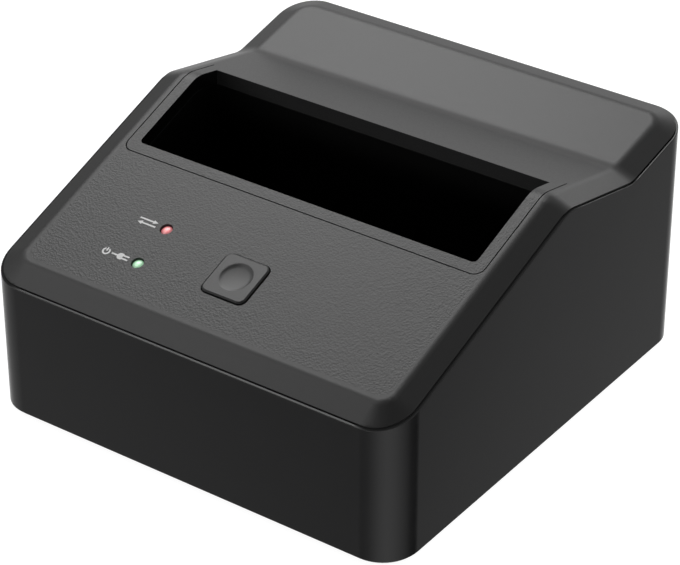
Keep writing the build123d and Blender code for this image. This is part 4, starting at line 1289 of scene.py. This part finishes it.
@dataclass
class LampRow:
    """The two lamps with a plain white sign beside each."""

    data_place: tuple[float, float] = (-33.0 * MM, 29.0 * MM)
    power_place: tuple[float, float] = (-34.2 * MM, 17.2 * MM)
    ink: float = 0.02 * MM
    stroke: float = 0.46 * MM
    ring_x: float = -3.0 * MM
    ring_radius: float = 0.95 * MM
    ring_bar_from: float = 0.1 * MM
    gap_angle: float = math.radians(35)
    cord: tuple[float, float] = (-1.2 * MM, 0.7 * MM)
    plug_x: float = 1.6 * MM
    plug_radius: float = 1.0 * MM
    plug_steps: int = 16
    plug_length: float = 0.7 * MM
    prong_reach: float = 4.2 * MM
    prong_apart: float = 1.0 * MM
    arrow_length: float = 5.8 * MM
    arrow_head: tuple[float, float] = (1.5 * MM, 1.25 * MM)
    arrow_apart: float = 1.35 * MM

    def build(self) -> None:
        """Build the lenses and the signs."""
        Skin("data_lamp", Finish.lamp_red, edge=0.0).build()
        Skin("power_lamp", Finish.lamp_green, edge=0.0).build()
        register(self.power_sign(), "case", Finish.sign_white)
        register(self.data_sign(), "case", Finish.sign_white)

    def power_sign(self) -> bpy.types.Object:
        """Draw a broken ring with a bar, the usual sign for power, and a small plug on its cord.

        Returns:
            The sign.
        """
        sign = Print(FrontSlope().at(*self.power_place), self.ink)
        upright = math.pi / 2
        half = self.stroke / 2
        sign.arc((self.ring_x, 0.0), self.ring_radius, self.stroke, upright + self.gap_angle,
                 upright + 2 * math.pi - self.gap_angle)
        sign.bar((self.ring_x - half, self.ring_x + half), (self.ring_bar_from, self.ring_radius + half))
        sign.bar(self.cord, (-half, half))
        turns = [upright + math.pi * step / self.plug_steps for step in range(self.plug_steps + 1)]
        nose = [(self.plug_x + self.plug_radius * math.cos(turn), self.plug_radius * math.sin(turn))
                for turn in turns]
        end = self.plug_x + self.plug_length
        sign.plate(nose + [(end, -self.plug_radius), (end, self.plug_radius)])
        for side in (-0.5, 0.5):
            middle = side * self.prong_apart
            sign.bar((end, self.prong_reach), (middle - half, middle + half))
        return sign.object("power_sign")

    def data_sign(self) -> bpy.types.Object:
        """Draw two arrows that point away from each other, the usual sign for data traffic.

        Returns:
            The sign.
        """
        sign = Print(FrontSlope().at(*self.data_place), self.ink)
        half = self.stroke / 2
        long, wide = self.arrow_head
        for way in (1.0, -1.0):
            rise = way * self.arrow_apart / 2
            tip = way * self.arrow_length / 2
            neck = tip - way * long
            sign.bar(tuple(sorted((-tip, neck))), (rise - half, rise + half))
            sign.plate([(neck, rise - way * wide / 2), (tip, rise), (neck, rise + way * wide / 2)])
        return sign.object("data_sign")


@dataclass(frozen=True)
class Screw:
    """One size of screw, with a rounded head, a cross recess and ridges for its thread."""

    head: float
    head_height: float
    shank: float
    length: float
    pitch: float = 0.9 * MM
    thread: float = 0.16 * MM
    tip_share: float = 0.55
    first_ridge: float = 0.8
    ridge_share: float = 0.3
    rim_share: float = 0.6
    crown_share: float = 0.55
    crown_steps: int = 7
    recess_share: float = 0.32
    recess_depth_share: float = 0.6

    def line(self) -> tuple[tuple[float, float], ...]:
        """Half outline of the screw, from its tip down to its head.

        Returns:
            Points as radius and height over the top of the head, which is at the bottom.
        """
        tip = self.head_height + self.length
        core = self.shank - self.thread
        ridge = self.pitch * self.ridge_share
        points = [(0.0, tip), (self.shank * self.tip_share, tip)]
        for index in range(int(self.length / self.pitch) - 1):
            height = tip - (index + self.first_ridge) * self.pitch
            points += [(core, height + ridge), (self.shank, height), (core, height - ridge)]
        rim = self.head_height * self.rim_share
        points += [(core, self.head_height), (self.head, self.head_height), (self.head, rim)]
        for step in range(1, self.crown_steps):
            turn = step / self.crown_steps * math.pi / 2
            reach = self.crown_share + (1 - self.crown_share) * math.cos(turn)
            points.append((self.head * reach, rim * (1 - math.sin(turn))))
        points.append((0.0, 0.0))
        return tuple(points)


@dataclass
class Fasteners:
    """Every screw of the case."""

    sides: int = 24
    case_screw: Screw = Screw(2.8 * MM, 2.2 * MM, 1.5 * MM, 16.0 * MM)
    well_screw: Screw = Screw(2.5 * MM, 1.7 * MM, 1.25 * MM, 8.0 * MM)
    main_board_screw: Screw = Screw(2.5 * MM, 1.7 * MM, 1.25 * MM, 5.0 * MM)
    front_board_screw: Screw = Screw(2.5 * MM, 1.7 * MM, 1.25 * MM, 6.0 * MM)

    def build(self) -> None:
        """Build all four sets."""
        self.drive("case_screws", UP, self.case_screw)
        self.drive("well_screws", UP, self.well_screw)
        self.drive("main_board_screws", -UP, self.main_board_screw)
        self.drive("front_board_screws", FrontSlope().normal(), self.front_board_screw)

    def drive(self, node: str, axis: Vector, screw: Screw) -> None:
        """Build the screws of one CAD node in their places.

        Args:
            node: The CAD node.
            axis: Direction from their heads to their tips.
            screw: Their size.
        """
        places = [stance(solid, axis, RIGHT) for solid in islands(node)]
        screws = Turned(node + "_turned", screw.line(), places, Finish.steel, sides=self.sides,
                        recess=screw.head * screw.recess_share,
                        recess_depth=screw.head_height * screw.recess_depth_share)
        register(screws.build(), "case", Finish.steel, node)


@dataclass
class Feet:
    """Four round rubber feet with a rounded edge and a shallow ring."""

    radius: float = 6.0 * MM
    height: float = 2.0 * MM
    rim: float = 0.5 * MM
    rim_steps: int = 5
    ring: tuple[float, float] = (2.4 * MM, 3.6 * MM)
    ring_slope: float = 0.2 * MM
    ring_depth: float = 0.25 * MM
    sides: int = 64

    def build(self) -> None:
        """Build the feet."""
        line = [(0.0, self.height), (self.radius, self.height)]
        middle = self.radius - self.rim
        for step in range(self.rim_steps + 1):
            turn = step / self.rim_steps * math.pi / 2
            line.append((middle + self.rim * math.cos(turn), self.rim * (1 - math.sin(turn))))
        inner, outer = self.ring
        line += [(outer, 0.0), (outer - self.ring_slope, self.ring_depth),
                 (inner + self.ring_slope, self.ring_depth), (inner, 0.0), (0.0, 0.0)]
        places = [stance(solid, UP, RIGHT) for solid in islands("rubber_feet")]
        feet = Turned("rubber_feet_turned", tuple(line), places, Finish.foot_rubber, sides=self.sides)
        register(feet.build(), "case", Finish.foot_rubber, "rubber_feet")


@dataclass
class DriveConnector:
    """The keyed connector in the well and its row of spring contacts."""

    body_edge: float = 0.06 * MM
    contact_width: float = 0.6 * MM
    contact_thickness: float = 0.22 * MM
    bow: float = 0.14 * MM
    bow_from: float = 0.55
    bow_at: float = 0.8
    rounding: float = 0.8 * MM

    def build(self) -> None:
        """Build the body and the contacts."""
        Skin("sata_connector", Finish.connector_black, edge=self.body_edge).build()
        low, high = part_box("sata_contacts")
        tall = high.z - low.z
        places = [stance(solid, UP, RIGHT) for solid in islands("sata_contacts")]
        line = ((0.0, 0.0, 0.0), (0.0, 0.0, tall * self.bow_from), (0.0, self.bow, tall * self.bow_at),
                (0.0, 0.0, tall))
        contacts = Strip("sata_contacts_strip", line, places, Finish.contact_gold,
                         rounding=self.rounding, width=self.contact_width,
                         thickness=self.contact_thickness)
        register(contacts.build(), "case", Finish.contact_gold, "sata_contacts")


@dataclass
class Electronics:
    """Parts on the boards that need more than their CAD solids."""

    leg_width: float = 0.4 * MM
    leg_thickness: float = 0.14 * MM
    leg_drop: float = 0.36 * MM
    leg_bends: tuple[float, float] = (0.35 * MM, 0.55 * MM)
    leg_length: float = 1.0 * MM
    rounding: float = 0.1 * MM

    def build(self) -> None:
        """Build the chip's legs as bent strips."""
        low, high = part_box("bridge_chip")
        middle = (low + high) / 2
        places = []
        for solid in islands("bridge_chip_legs"):
            out = sum(solid, Vector()) / len(solid) - middle
            side = Vector((math.copysign(1.0, out.x), 0.0, 0.0))
            if abs(out.y) > abs(out.x):
                side = Vector((0.0, math.copysign(1.0, out.y), 0.0))
            places.append(stance(solid, side, UP.cross(side)))
        half = self.leg_drop / 2
        shoulder, heel = self.leg_bends
        line = ((0.0, -half, 0.0), (0.0, -half, shoulder), (0.0, half, heel),
                (0.0, half, self.leg_length))
        legs = Strip("bridge_chip_legs_strip", line, places, Finish.tinned_wire, rounding=self.rounding,
                     width=self.leg_width, thickness=self.leg_thickness)
        register(legs.build(), "case", Finish.tinned_wire, "bridge_chip_legs")


@dataclass
class Sockets:
    """The data port and the power jack at the back."""

    skins: tuple[Skin, ...] = (
        Skin("usb_port_shell", Finish.port_steel, edge=0.05 * MM),
        Skin("usb_port_insert", Finish.port_blue, edge=0.08 * MM),
        Skin("dc_jack", Finish.connector_black, edge=0.1 * MM),
        Skin("dc_jack_pin", Finish.port_steel, edge=0.0),
    )

    def build(self) -> None:
        """Build the sockets."""
        for skin in self.skins:
            skin.build()


def dress_rest() -> None:
    """Give every CAD node that is still shown its finish from the record."""
    for part in frame["record"]["subparts"]:
        node = frame["nodes"][part["node"]]
        if not node.hide_render:
            dress(node, Finish[part["material_slot"]])
            LOG.info("%s: shown as it is, in %s", part["node"], part["material_slot"])


def main() -> None:
    """Build the docking station and its studio."""
    logging.basicConfig(level=logging.INFO, format="%(message)s")
    for assembly in (CaseMouldings(), PowerButton(), LampRow(), Fasteners(), Feet(), DriveConnector(),
                     Electronics(), Sockets()):
        LOG.info("%s", type(assembly).__name__)
        assembly.build()
    dress_rest()
    Studio().build()


if __name__ == "__main__":
    main()
